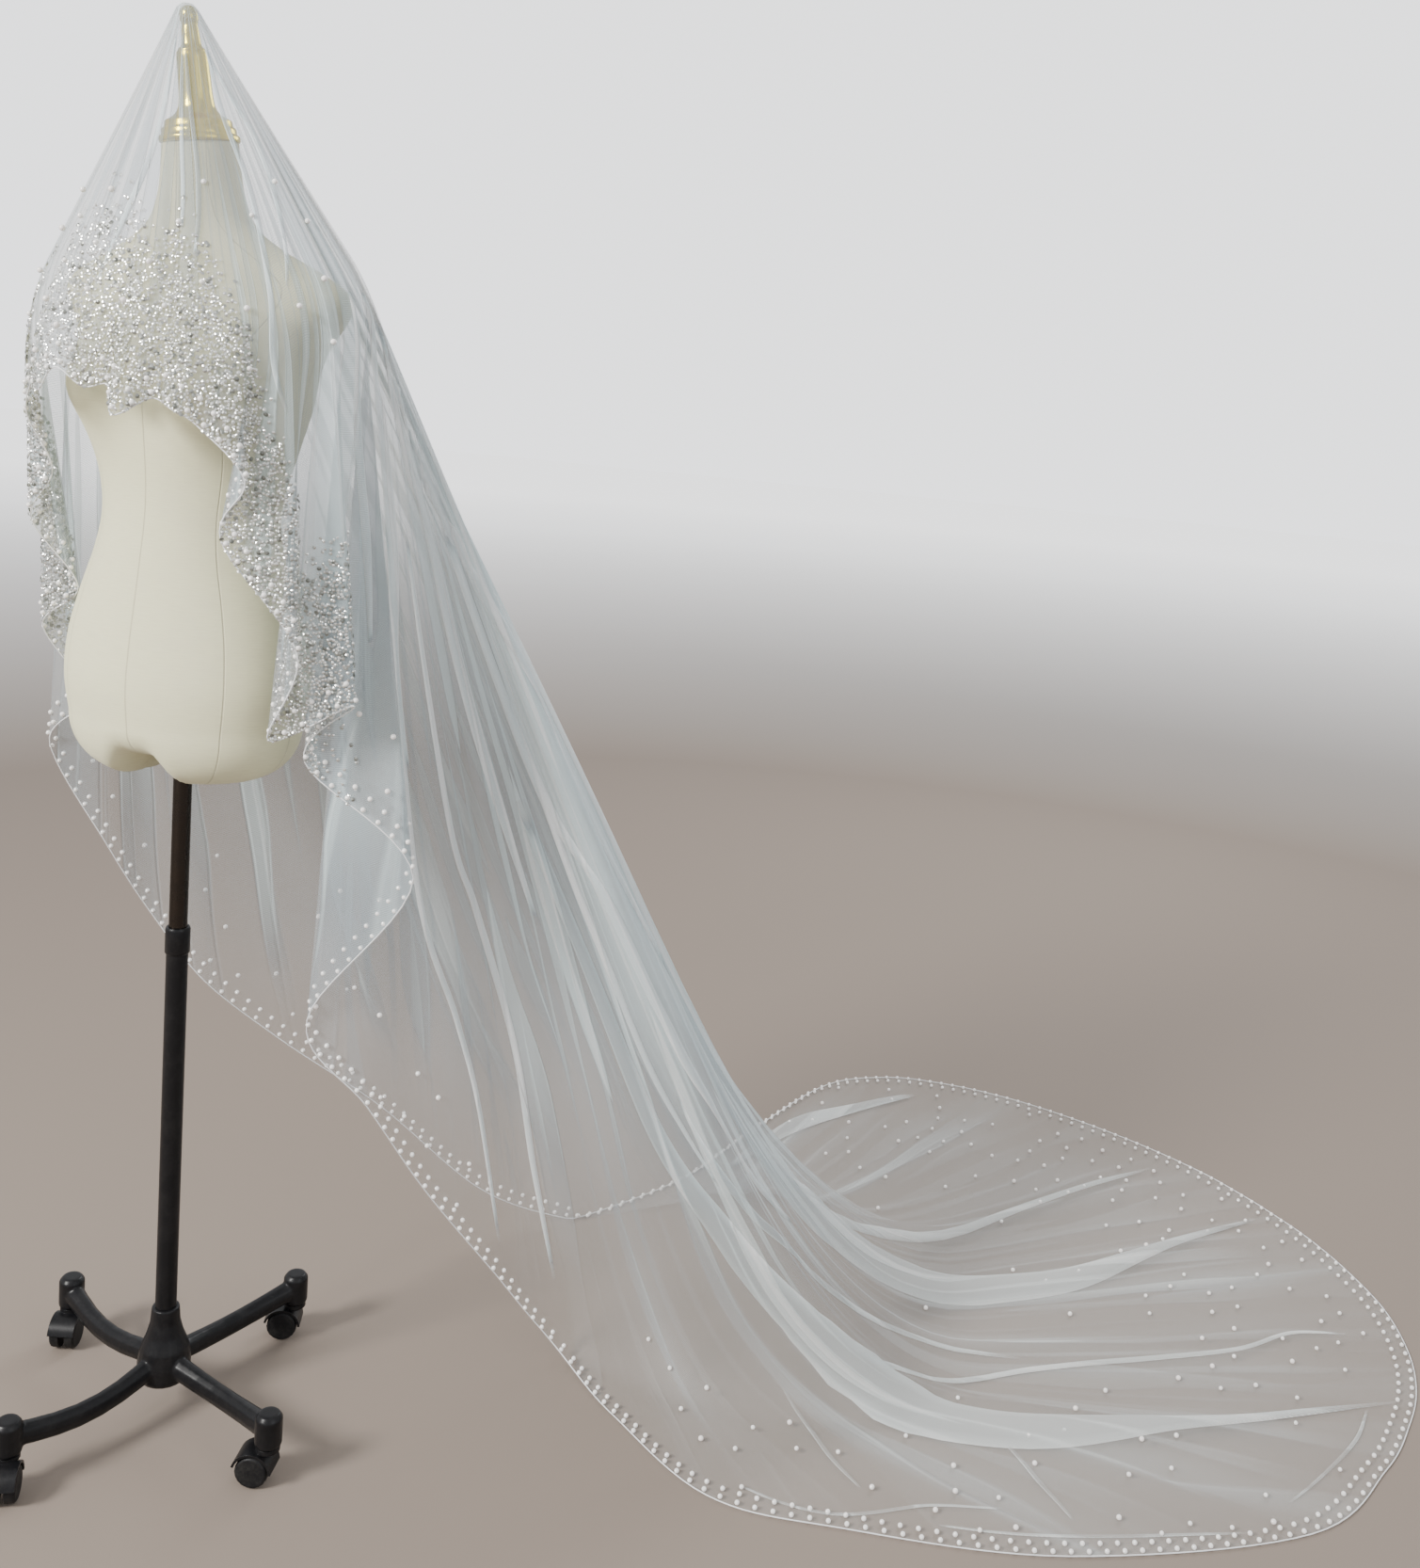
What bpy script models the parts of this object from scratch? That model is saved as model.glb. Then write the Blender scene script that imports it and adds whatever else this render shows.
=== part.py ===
"""Bridal veil of tulle hung over the finial of a dress form on a wheeled stand.

Metres, +Z up. The form faces -Y and the wearer's left side is +X.
The veil is one oval of cloth, modelled as the stretches that show.
"""
import math
from collections import namedtuple

import bmesh
import bpy
from mathutils import Matrix, Vector

# Cloth wall and the gap kept between solids that meet
WALL = 0.0016
GAP = 0.0003

# Crown point, where the cloth hangs on the finial
CROWN_X = 0.0
CROWN_Y = -0.034
CROWN_Z = 1.7072
CROWN_RADIUS = 0.0115
CROWN_DROP = 0.0060
CROWN_REACH = 0.024
DOME_RADIUS = 0.0062
DOME_DROP = 0.0012

# Ring over the shoulders and the bust that every rib of the cloth bends across
RING_HALF_WIDTH = 0.206
RING_X = 0.008
RING_FRONT = 0.158
RING_BACK = 0.136
RING_HEIGHT = 1.402
RING_FRONT_DROP = 0.066
RING_BEND = 0.055
LEAST_FLARE = 0.020

# Pleats grow down each rib from the crown: share of the crest at the ring, depth where
# they are full, how much of them the free cascades keep, and where they end at the hem
RING_SHARE = 0.35
FULL_DEPTH = 1.20
CASCADE_SHARE = 0.12
HEM_FADE = 0.30

# Dress form, stand and casters
FORM_SIDES = 36
NECK_LEAN = 1.49
TUBE_RADIUS = 0.0110
TUBE_BOTTOM = 0.600
SLEEVE_RADIUS = 0.0130
SLEEVE_TOP = 0.642
SLEEVE_BOTTOM = 0.1403
COLLAR_RISE = 0.0018
COLLAR_LENGTH = 0.034
COLLAR_EDGE = 0.002
HUB_TOP = 0.140
HUB_BOTTOM = 0.042
LEG_REACH = 0.208
LEG_TURN = 73.5
LEG_COUNT = 4
SOCKET_RADIUS = 0.0165
SOCKET_TOP = 0.092
SOCKET_BOTTOM = 0.0500
STEM_RADIUS = 0.0052
STEM_HOLE = 0.0056
STEM_TOP = 0.082
BOSS_BOTTOM = 0.0415
WHEEL_RADIUS = 0.0203
WHEEL_WIDTH = 0.0125
WHEEL_SIDES = 18
BOSS_RADIUS = 0.0145
BOSS_EDGE = 0.0025
WEB_RISE = 0.003
WEB_FOOT = 0.0095
WHEEL_PLAY = 0.0006
WHEEL_EDGE = 0.0025
GUARD_MARGIN = 0.001
GUARD_INNER = 0.0015
GUARD_OUTER = 0.0045
WEB_HALF = 0.0035
AXLE_RADIUS = 0.0035
AXLE_HOLE = 0.0039
CASTER_TRAIL = 0.015
CASTER_TURNS = (205.0, 290.0, 300.0, 195.0)

Rib = namedtuple("Rib", "name turn foot_x foot_y foot_z end_x end_y up out crest lay")

# Ribs of the cloth from the crown to the hem, in order round the wearer from the right
# side of the front. turn is the angle on the ring in degrees, 0 at the front. The foot is
# the hem where the cloth hangs free, or the bend at the floor, with the lengths up and
# out over which it bends; the end is the hem on the floor. crest is the height of the
# pleat on the rib as it falls, and lay its height on the floor.
RIBS = (
    Rib("front_right", -34, -0.118, -0.128, 1.280, -0.118, -0.128, 0, 0, 0, 0),
    Rib("front_right_dip", -25, -0.086, -0.150, 1.276, -0.086, -0.150, 0, 0, 0.011, 0),
    Rib("front_right_rise", -16, -0.054, -0.162, 1.302, -0.054, -0.162, 0, 0, 0, 0),
    Rib("front_middle_dip", -6, -0.020, -0.158, 1.284, -0.020, -0.158, 0, 0, 0.011, 0),
    Rib("front_middle", 4, 0.014, -0.160, 1.288, 0.014, -0.160, 0, 0, 0, 0),
    Rib("front_narrow_fold", 12, 0.042, -0.184, 1.258, 0.042, -0.184, 0, 0, 0.012, 0),
    Rib("front_left_rise", 20, 0.068, -0.158, 1.278, 0.068, -0.158, 0, 0, 0, 0),
    Rib("front_left_dip", 27, 0.094, -0.156, 1.268, 0.094, -0.156, 0, 0, 0.010, 0),
    Rib("front_left", 35, 0.120, -0.146, 1.252, 0.120, -0.146, 0, 0, 0, 0),
    Rib("left_hidden_fold", 42, 0.170, -0.134, 1.200, 0.170, -0.134, 0, 0, 0.010, 0),
    Rib("left_first_inner", 50, 0.134, -0.122, 1.134, 0.134, -0.122, 0, 0, 0, 0),
    Rib("left_first_outer", 59, 0.214, -0.092, 1.018, 0.214, -0.092, 0, 0, 0.010, 0),
    Rib("left_second_inner", 67, 0.170, -0.074, 0.912, 0.170, -0.074, 0, 0, 0, 0),
    Rib("left_second_outer", 75, 0.256, -0.040, 0.958, 0.256, -0.040, 0, 0, 0.010, 0),
    Rib("left_third_inner", 83, 0.185, -0.024, 0.880, 0.185, -0.024, 0, 0, 0, 0),
    Rib("left_third_outer", 91, 0.304, 0.026, 0.750, 0.304, 0.026, 0, 0, 0.010, 0),
    Rib("left_tail", 99, 0.168, 0.030, 0.545, 0.168, 0.030, 0, 0, 0, 0),
    Rib("left_side_high", 103, 0.224, 0.085, 0.425, 0.224, 0.085, 0, 0, 0.010, 0),
    Rib("left_side_middle", 106, 0.276, 0.155, 0.290, 0.276, 0.155, 0, 0, 0, 0),
    Rib("left_side_low", 109, 0.338, 0.240, 0.150, 0.338, 0.240, 0, 0, 0.012, 0),
    Rib("left_side_touch", 112, 0.400, 0.318, 0.020, 0.408, 0.308, 0.03, 0.005, 0, 0),
    Rib("left_side_floor", 115, 0.456, 0.352, 0, 0.52, 0.24, 0.15, 0.05, 0.010, 0.004),
    Rib("near_corner", 118, 0.52, 0.372, 0, 0.690, 0.148, 0.25, 0.10, 0, 0),
    Rib("near_edge", 121, 0.585, 0.385, 0, 0.860, 0.166, 0.33, 0.13, 0.009, 0.005),
    Rib("near_outer", 124, 0.655, 0.392, 0, 1.120, 0.238, 0.40, 0.17, 0, 0),
    Rib("near_band_out", 126.5, 0.715, 0.398, 0, 1.400, 0.410, 0.48, 0.20, 0.001, 0.001),
    Rib("near_band", 129, 0.757, 0.41, 0, 1.500, 0.585, 0.52, 0.21, 0.016, 0.014),
    Rib("near_band_in", 131.5, 0.768, 0.44, 0, 1.540, 0.705, 0.54, 0.21, 0.001, 0.001),
    Rib("near_valley", 133.5, 0.763, 0.47, 0, 1.558, 0.800, 0.56, 0.22, 0, 0),
    Rib("end_crease", 135.5, 0.750, 0.502, 0, 1.556, 0.900, 0.58, 0.22, 0.010, 0.007),
    Rib("end_valley", 137.5, 0.735, 0.535, 0, 1.530, 1.010, 0.62, 0.24, 0, 0),
    Rib("wide_band_out", 139.5, 0.722, 0.560, 0, 1.478, 1.110, 0.66, 0.25, 0.001, 0.001),
    Rib("wide_band", 141.5, 0.708, 0.590, 0, 1.425, 1.185, 0.70, 0.27, 0.015, 0.013),
    Rib("wide_band_in", 143.5, 0.690, 0.618, 0, 1.368, 1.245, 0.74, 0.30, 0.001, 0.001),
    Rib("ridge_valley", 145.5, 0.670, 0.640, 0, 1.318, 1.290, 0.78, 0.32, 0, 0),
    Rib("ridge", 148, 0.645, 0.662, 0, 1.245, 1.345, 0.82, 0.35, 0.014, 0.011),
    Rib("far_valley", 151, 0.614, 0.680, 0, 1.130, 1.405, 0.76, 0.33, 0, 0),
    Rib("far_crease", 154, 0.582, 0.692, 0, 0.990, 1.455, 0.66, 0.30, 0.009, 0.006),
    Rib("far_hollow", 158, 0.55, 0.700, 0, 0.850, 1.482, 0.55, 0.27, 0, 0),
    Rib("far_band", 162, 0.519, 0.706, 0, 0.725, 1.480, 0.44, 0.24, 0.010, 0.009),
    Rib("far_edge", 166, 0.489, 0.708, 0, 0.618, 1.448, 0.35, 0.21, 0, 0),
    Rib("far_corner", 171, 0.459, 0.708, 0, 0.520, 1.350, 0.26, 0.17, 0.009, 0.005),
    Rib("right_side_bend", 176, 0.422, 0.702, 0, 0.450, 1.110, 0.19, 0.12, 0, 0),
    Rib("right_side_floor", 182, 0.352, 0.684, 0, 0.392, 0.860, 0.13, 0.05, 0.006, 0),
    Rib("right_side_touch", 189, 0.272, 0.64, 0.006, 0.272, 0.64, 0, 0, 0, 0),
    Rib("right_side_low", 199, 0.172, 0.528, 0.085, 0.172, 0.528, 0, 0, 0.012, 0),
    Rib("right_side_middle", 210, 0.058, 0.403, 0.250, 0.058, 0.403, 0, 0, 0, 0),
    Rib("right_side_high", 221, -0.045, 0.290, 0.375, -0.045, 0.290, 0, 0, 0.012, 0),
    Rib("right_side_back", 232, -0.116, 0.210, 0.475, -0.116, 0.210, 0, 0, 0, 0),
    Rib("right_tail", 243, -0.166, 0.160, 0.575, -0.166, 0.160, 0, 0, 0.010, 0),
    Rib("right_tail_rise", 253, -0.202, 0.110, 0.680, -0.202, 0.110, 0, 0, 0, 0),
    Rib("right_third_outer", 262, -0.250, 0.056, 0.822, -0.250, 0.056, 0, 0, 0.010, 0),
    Rib("right_third_inner", 271, -0.172, 0.030, 0.900, -0.172, 0.030, 0, 0, 0, 0),
    Rib("right_second_outer", 280, -0.200, -0.014, 0.990, -0.200, -0.014, 0, 0, 0.010, 0),
    Rib("right_second_inner", 289, -0.140, -0.024, 1.045, -0.140, -0.024, 0, 0, 0, 0),
    Rib("right_first_outer", 298, -0.172, -0.066, 1.125, -0.172, -0.066, 0, 0, 0.008, 0),
    Rib("right_first_inner", 307, -0.130, -0.080, 1.185, -0.130, -0.080, 0, 0, 0, 0),
    Rib("right_front_fold", 316, -0.138, -0.110, 1.245, -0.138, -0.110, 0, 0, 0.008, 0),
)
RIB_NAMES = [rib.name for rib in RIBS]

Stretch = namedtuple("Stretch", "node first last shares rest rows")

# Columns within the space from one rib to the next
EVEN_TWO = (0.0, 0.5)
EVEN_THREE = (0.0, 1 / 3, 2 / 3)
ROUND_FOUR = (0.0, 0.17, 0.5, 0.83)

# Stretches of the one cloth: first and last rib, columns per rib, whether it takes the
# whole length or only the fall or the floor, and the rows between the ring and the floor
STRETCHES = (
    Stretch("veil_front", "front_right", "front_left", EVEN_THREE, "whole", 2),
    Stretch("veil_left_cascade", "front_left", "left_side_high", ROUND_FOUR, "whole", 6),
    Stretch("veil_left_side", "left_side_high", "left_side_floor", EVEN_TWO, "both", 7),
    Stretch("veil_back_fall", "left_side_floor", "right_side_floor", EVEN_TWO, "fall", 7),
    Stretch("veil_train", "left_side_floor", "right_side_floor", EVEN_TWO, "floor", 0),
    Stretch("veil_right_side", "right_side_floor", "right_tail_rise", EVEN_TWO, "both", 7),
    Stretch("veil_right_cascade", "right_tail_rise", "front_right", ROUND_FOUR, "whole", 5),
)
FLOOR_ROWS = 6
TOUCH_SHARE = 0.86
ROW_SPREAD = 1.3

Section = namedtuple("Section", "height half_width front back forward side")

# Level sections of the dress form from the hip to the neck, with how far the middle of
# each stands forward and towards the wearer's left
SECTIONS = (
    Section(0.905, 0.147, 0.100, 0.112, 0.000, 0.000),
    Section(0.950, 0.154, 0.104, 0.120, 0.000, 0.000),
    Section(1.000, 0.150, 0.100, 0.112, 0.000, 0.000),
    Section(1.050, 0.136, 0.094, 0.094, 0.000, 0.001),
    Section(1.100, 0.118, 0.088, 0.078, 0.000, 0.002),
    Section(1.140, 0.110, 0.084, 0.072, 0.000, 0.003),
    Section(1.180, 0.114, 0.084, 0.074, 0.000, 0.004),
    Section(1.230, 0.128, 0.090, 0.082, 0.000, 0.005),
    Section(1.280, 0.142, 0.096, 0.090, 0.000, 0.006),
    Section(1.320, 0.148, 0.094, 0.096, 0.000, 0.007),
    Section(1.350, 0.160, 0.086, 0.098, 0.000, 0.008),
    Section(1.375, 0.178, 0.076, 0.094, 0.000, 0.010),
    Section(1.395, 0.188, 0.064, 0.084, 0.000, 0.010),
    Section(1.412, 0.180, 0.056, 0.074, 0.000, 0.010),
    Section(1.432, 0.144, 0.052, 0.066, 0.002, 0.010),
    Section(1.452, 0.100, 0.048, 0.058, 0.006, 0.010),
    Section(1.474, 0.066, 0.046, 0.050, 0.009, 0.010),
    Section(1.502, 0.050, 0.044, 0.046, 0.012, 0.010),
    Section(1.532, 0.044, 0.042, 0.042, 0.015, 0.010),
    Section(1.5615, 0.042, 0.040, 0.040, 0.018, 0.010),
)
BUST_X = 0.084
BUST_Z = 1.288
BUST_OUT = 0.044
BUST_SPREAD = 0.052
BUST_BREADTH = 0.042
LOBE_DROP = 0.071
LOBE_RINGS = 7
CLEFT_HALF = 0.017
CLEFT_EDGE = 0.030
CLEFT_DEPTH = 0.45
SEAT_RADIUS = 0.0155
TOP_RINGS = 2


def smooth_step(low, high, value):
    share = min(1.0, max(0.0, (value - low) / (high - low)))
    return share * share * (3.0 - 2.0 * share)


def curve_through(before, start, stop, after, share):
    """Point of a smooth curve through two values, bent by their neighbours."""
    square = share * share
    cube = square * share
    return 0.5 * (2.0 * start + (stop - before) * share
                  + (2.0 * before - 5.0 * start + 4.0 * stop - after) * square
                  + (3.0 * start - before - 3.0 * stop + after) * cube)


def rib_row(index):
    """Numbers of one rib, counted on past the last one with a whole turn added."""
    count = len(RIBS)
    rib = RIBS[index % count]
    return (rib.turn + 360.0 * (index // count),) + rib[2:]


def rib_at(place):
    """Numbers of the rib at a fractional place in the table."""
    index = math.floor(place)
    share = place - index
    rows = [rib_row(index + step) for step in (-1, 0, 1, 2)]
    return [curve_through(*column, share) for column in zip(*rows)]


def ring_point(turn):
    angle = math.radians(turn)
    forward = math.cos(angle)
    depth = RING_FRONT if forward > 0 else RING_BACK
    height = RING_HEIGHT - RING_FRONT_DROP * max(0.0, forward)
    return Vector((RING_X + RING_HALF_WIDTH * math.sin(angle), -depth * forward, height))


def crown_point(turn):
    angle = math.radians(turn)
    return Vector((CROWN_X + CROWN_RADIUS * math.sin(angle),
                   CROWN_Y - CROWN_RADIUS * math.cos(angle),
                   CROWN_Z - CROWN_DROP))


def bend(start, corner, stop, share):
    return (start * (1 - share) ** 2 + corner * 2 * share * (1 - share)
            + stop * share ** 2)


def rib_knots(place):
    """Corner points and bends of the rib at a place: top, ring, foot and end."""
    turn, foot_x, foot_y, foot_z, end_x, end_y, flare_up, flare_out, _, _ = rib_at(place)
    half = WALL / 2
    top = crown_point(turn)
    ring = ring_point(turn)
    foot = Vector((foot_x, foot_y, max(0.0, foot_z) + half))
    lies = min(1.0, max(0.0, flare_up / LEAST_FLARE))
    end = foot.lerp(Vector((end_x, end_y, foot.z)), lies)
    above = (ring - top).normalized()
    down = (foot - ring).normalized()
    reach = (foot - ring).length
    turn_in = min(RING_BEND, 0.45 * reach)
    bend_in = ring - above * RING_BEND
    bend_out = ring + down * turn_in
    rise = min(max(0.0, flare_up), 0.9 * (reach - turn_in))
    run = min(max(0.0, flare_out), 0.9 * (end - foot).length)
    lift = foot - down * rise
    touch = foot + (end - foot).normalized() * run if run > 0 else foot.copy()
    return top, ring, foot, end, bend_in, bend_out, lift, touch


BEND_STEPS = 12


def rib_line(place):
    """Fine points of a rib with their distances from the crown, and its three marks."""
    top, ring, foot, end, bend_in, bend_out, lift, touch = rib_knots(place)
    points = [top, bend_in]
    for step in range(1, BEND_STEPS + 1):
        points.append(bend(bend_in, ring, bend_out, step / BEND_STEPS))
    over_ring = len(points) - 1
    points.append(lift)
    for step in range(1, BEND_STEPS + 1):
        points.append(bend(lift, foot, touch, step / BEND_STEPS))
    at_touch = len(points) - 1
    points.append(end)
    distances = [0.0]
    for first, second in zip(points, points[1:]):
        distances.append(distances[-1] + (second - first).length)
    marks = (distances[1], distances[over_ring], distances[at_touch], distances[-1])
    return points, distances, marks


LINE_CACHE = {}


def cached_line(place):
    key = round(place, 6)
    if key not in LINE_CACHE:
        LINE_CACHE[key] = rib_line(place)
    return LINE_CACHE[key]


def along(place, distance):
    """Point of the plain cloth on a rib, a distance down from the crown."""
    points, distances, _ = cached_line(place)
    low, high = 0, len(distances) - 1
    while high - low > 1:
        middle = (low + high) // 2
        if distances[middle] <= distance:
            low = middle
        else:
            high = middle
    length = distances[high] - distances[low]
    share = 0.0 if length < 1e-9 else (distance - distances[low]) / length
    return points[low].lerp(points[high], min(1.0, max(0.0, share)))


def normal_at(place, distance, finder):
    """Outward normal of a surface given by finder, and its two directions."""
    step = 0.02
    reach = min(0.004, 0.3 * distance)
    total = cached_line(place)[2][-1]
    share = distance / total
    sides = [finder(place + turn, share * cached_line(place + turn)[2][-1])
             for turn in (-step, step)]
    across = sides[1] - sides[0]
    below = min(total, distance + reach)
    down = finder(place, below) - finder(place, below - 2 * reach)
    across -= down * (across.dot(down) / down.length_squared)
    normal = down.cross(across)
    return normal.normalized(), across.normalized(), down.normalized()


def pleat_height(place, distance):
    """Height of the pleats above the plain cloth."""
    _, _, marks = cached_line(place)
    bend_start, _, touch, total = marks
    crest, lay = (max(0.0, value) for value in rib_at(place)[-2:])
    trailing = smooth_step(1.20, 1.60, total)
    grow = RING_SHARE * min(1.0, distance / bend_start) ** 1.5
    grow += (1 - RING_SHARE) * smooth_step(bend_start, FULL_DEPTH, distance)
    free = smooth_step(bend_start, bend_start + 0.12, distance)
    grow *= 1 - (1 - CASCADE_SHARE) * (1 - trailing) * free
    settle = smooth_step(FULL_DEPTH, max(FULL_DEPTH + 0.2, touch), distance) * trailing
    height = crest * grow * (1 - settle) + lay * settle
    height *= 1 - smooth_step(total - HEM_FADE, total - 0.03, distance) * trailing
    return height


def cloth_point(place, distance):
    """Point of the pleated cloth on a rib."""
    plain = along(place, distance)
    normal, _, _ = normal_at(place, distance, along)
    point = plain + normal * pleat_height(place, distance)
    point.z = max(point.z, WALL / 2)
    return point


def row_distances(place, stretch):
    """Distances down one rib at which the stretch has its rows."""
    _, _, marks = cached_line(place)
    bend_start, bend_end, touch, total = marks
    cut = min(touch, TOUCH_SHARE * total)
    start = CROWN_REACH
    upper = [start, start + 0.5 * (bend_start - start), bend_start,
             0.5 * (bend_start + bend_end), bend_end]
    if stretch.rest == "whole":
        stop = total
    else:
        stop = cut
    lower = [bend_end + (stop - bend_end) * ((row + 1) / stretch.rows) ** ROW_SPREAD
             for row in range(stretch.rows)]
    floor = [cut + (total - cut) * (row + 1) / FLOOR_ROWS for row in range(FLOOR_ROWS)]
    if stretch.rest == "floor":
        return [cut] + floor
    if stretch.rest == "both":
        return upper + lower + floor
    return upper + lower


def new_material(name, color, roughness, metallic=0.0, alpha=1.0):
    material = bpy.data.materials.new(name)
    material.use_nodes = True
    shader = material.node_tree.nodes["Principled BSDF"]
    shader.inputs["Base Color"].default_value = (*color, 1.0)
    shader.inputs["Roughness"].default_value = roughness
    shader.inputs["Metallic"].default_value = metallic
    shader.inputs["Alpha"].default_value = alpha
    material.diffuse_color = (*color, alpha)
    return material


def add_object(name, mesh, material, parent, smooth_angle=40.0):
    part = bpy.data.objects.new(name, mesh)
    bpy.context.scene.collection.objects.link(part)
    mesh.materials.append(material)
    if smooth_angle > 0:
        mesh.shade_smooth()
        mesh.set_sharp_from_angle(angle=math.radians(smooth_angle))
    part.parent = parent
    return part


def mesh_from_bmesh(name, shape):
    bmesh.ops.recalc_face_normals(shape, faces=shape.faces)
    mesh = bpy.data.meshes.new(name)
    shape.to_mesh(mesh)
    shape.free()
    return mesh


def wall_from_grid(name, grid, normals, wrap=False):
    """Closed wall on a grid of middle points: grid[column][row]."""
    shape = bmesh.new()
    half = WALL / 2
    sides = []
    for sign in (1, -1):
        sides.append([[shape.verts.new(point + normal * (sign * half))
                       for point, normal in zip(column, slopes)]
                      for column, slopes in zip(grid, normals)])
    columns = len(grid)
    rows = len(grid[0])
    last = columns if wrap else columns - 1
    for c in range(last):
        for r in range(rows - 1):
            d = (c + 1) % columns
            corners = ((c, r), (d, r), (d, r + 1), (c, r + 1))
            middle = [grid[column][row] for column, row in corners]
            if (middle[0] - middle[2]).length > (middle[1] - middle[3]).length:
                corners = corners[1:] + corners[:1]
            for side, verts in enumerate(sides):
                a, b, e, f = (verts[column][row] for column, row in corners)
                for face in ((a, b, e), (a, e, f)):
                    shape.faces.new(face if side == 0 else face[::-1])
    outer, inner = sides
    for r in (0, rows - 1):
        for c in range(last):
            d = (c + 1) % columns
            shape.faces.new([outer[c][r], inner[c][r], inner[d][r], outer[d][r]])
    if not wrap:
        for c in (0, columns - 1):
            for r in range(rows - 1):
                shape.faces.new([outer[c][r], outer[c][r + 1],
                                 inner[c][r + 1], inner[c][r]])
    return mesh_from_bmesh(name, shape)


def build_stretch(stretch, material, parent):
    """One stretch of the veil, trimmed back a little at each seam."""
    first = RIB_NAMES.index(stretch.first)
    last = RIB_NAMES.index(stretch.last)
    if last <= first:
        last += len(RIBS)
    places = [rib + share for rib in range(first, last) for share in stretch.shares]
    places.append(last)
    count = len(places) - 1
    grid = []
    normals = []
    for column, place in enumerate(places):
        distances = row_distances(place, stretch)
        points = []
        slopes = []
        for row, distance in enumerate(distances):
            point = cloth_point(place, distance)
            normal, across, down = normal_at(place, distance, cloth_point)
            if column == 0:
                point += across * GAP / 2
            if column == count:
                point -= across * GAP / 2
            if row == 0:
                point += down * GAP / 2
            if row == len(distances) - 1 and stretch.rest == "fall":
                point -= down * GAP / 2
            points.append(point)
            slopes.append(normal)
        grid.append(points)
        normals.append(slopes)
    mesh = wall_from_grid(stretch.node, grid, normals)
    return add_object(stretch.node, mesh, material, parent, 60.0)


def build_crown(material, parent):
    """Small cap of cloth over the finial, where all the ribs meet."""
    columns = 36
    rings = (CROWN_REACH - GAP / 2, 0.5 * CROWN_REACH, 0.001)
    apex = Vector((CROWN_X, CROWN_Y, CROWN_Z))
    shape = bmesh.new()
    half = WALL / 2
    layers = []
    for sign in (1, -1):
        rows = []
        for distance in rings:
            row = []
            for column in range(columns):
                place = column * len(RIBS) / columns
                point = cloth_point(place, distance)
                normal, _, _ = normal_at(place, distance, cloth_point)
                row.append(shape.verts.new(point + normal * (sign * half)))
            rows.append(row)
        dome = []
        for column in range(columns):
            turn = math.radians(rib_at(column * len(RIBS) / columns)[0])
            offset = Vector((math.sin(turn), -math.cos(turn), 0)) * DOME_RADIUS
            offset.z = sign * half - DOME_DROP
            dome.append(shape.verts.new(apex + offset))
        rows.append(dome)
        tip = shape.verts.new(apex + Vector((0, 0, sign * half)))
        layers.append((rows, tip))
    for rows, tip in layers:
        for upper, lower in zip(rows, rows[1:]):
            for c in range(columns):
                d = (c + 1) % columns
                shape.faces.new([upper[c], upper[d], lower[d], lower[c]])
        for c in range(columns):
            shape.faces.new([rows[-1][c], rows[-1][(c + 1) % columns], tip])
    outer, inner = layers[0][0][0], layers[1][0][0]
    for c in range(columns):
        d = (c + 1) % columns
        shape.faces.new([outer[c], outer[d], inner[d], inner[c]])
    mesh = mesh_from_bmesh("veil_crown", shape)
    return add_object("veil_crown", mesh, material, parent, 60.0)


def neck_axis():
    """Foot of the neck cap and the direction from it up to the crown."""
    top = SECTIONS[-1]
    foot = Vector((top.side, -top.forward, top.height))
    crown = Vector((CROWN_X, CROWN_Y, CROWN_Z))
    return foot, (crown - foot).normalized()


def section_ring(section):
    """Points round one level of the dress form, tilted at the neck."""
    points = []
    bust = math.exp(-((section.height - BUST_Z) / BUST_SPREAD) ** 2)
    _, axis = neck_axis()
    share = smooth_step(NECK_LEAN, SECTIONS[-1].height, section.height)
    for side in range(FORM_SIDES):
        angle = 2 * math.pi * side / FORM_SIDES
        forward = math.cos(angle)
        depth = section.front if forward > 0 else section.back
        x = section.half_width * math.sin(angle)
        y = -depth * forward
        if forward > 0:
            near = math.exp(-((abs(x) - BUST_X) / BUST_BREADTH) ** 2)
            y -= BUST_OUT * bust * near * forward ** 0.5
        z = section.height - share * (axis.x * x + axis.y * y) / axis.z
        points.append(Vector((x + section.side, y - section.forward, z)))
    return points


def build_form(material, parent):
    """Limbless torso with two rounded lobes below and a flat neck."""
    shape = bmesh.new()
    rows = [[shape.verts.new(point) for point in section_ring(section)]
            for section in SECTIONS]
    hip = section_ring(SECTIONS[0])
    below = []
    for ring in range(1, LOBE_RINGS):
        share = math.cos(math.pi / 2 * ring / LOBE_RINGS)
        row = []
        for point in hip:
            x, y = point.x * share, point.y * share
            cleft = smooth_step(CLEFT_HALF, CLEFT_HALF + CLEFT_EDGE, abs(x))
            drop = LOBE_DROP * math.sqrt(1 - share ** 4) * (1 - CLEFT_DEPTH + CLEFT_DEPTH * cleft)
            row.append(shape.verts.new((x, y, SECTIONS[0].height - drop)))
        below.append(row)
    floor = SECTIONS[0].height - LOBE_DROP * (1 - CLEFT_DEPTH)
    seat = []
    for point in hip:
        flat = point.to_2d().normalized() * SEAT_RADIUS
        seat.append(shape.verts.new((flat.x, flat.y, floor)))
    rows = [seat] + below[::-1] + rows
    for lower, upper in zip(rows, rows[1:]):
        for c in range(FORM_SIDES):
            d = (c + 1) % FORM_SIDES
            shape.faces.new([lower[c], lower[d], upper[d], upper[c]])
    shape.faces.new(rows[0])
    shape.faces.new(rows[-1])
    mesh = mesh_from_bmesh("dress_form", shape)
    return add_object("dress_form", mesh, material, parent, 60.0), floor


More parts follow.
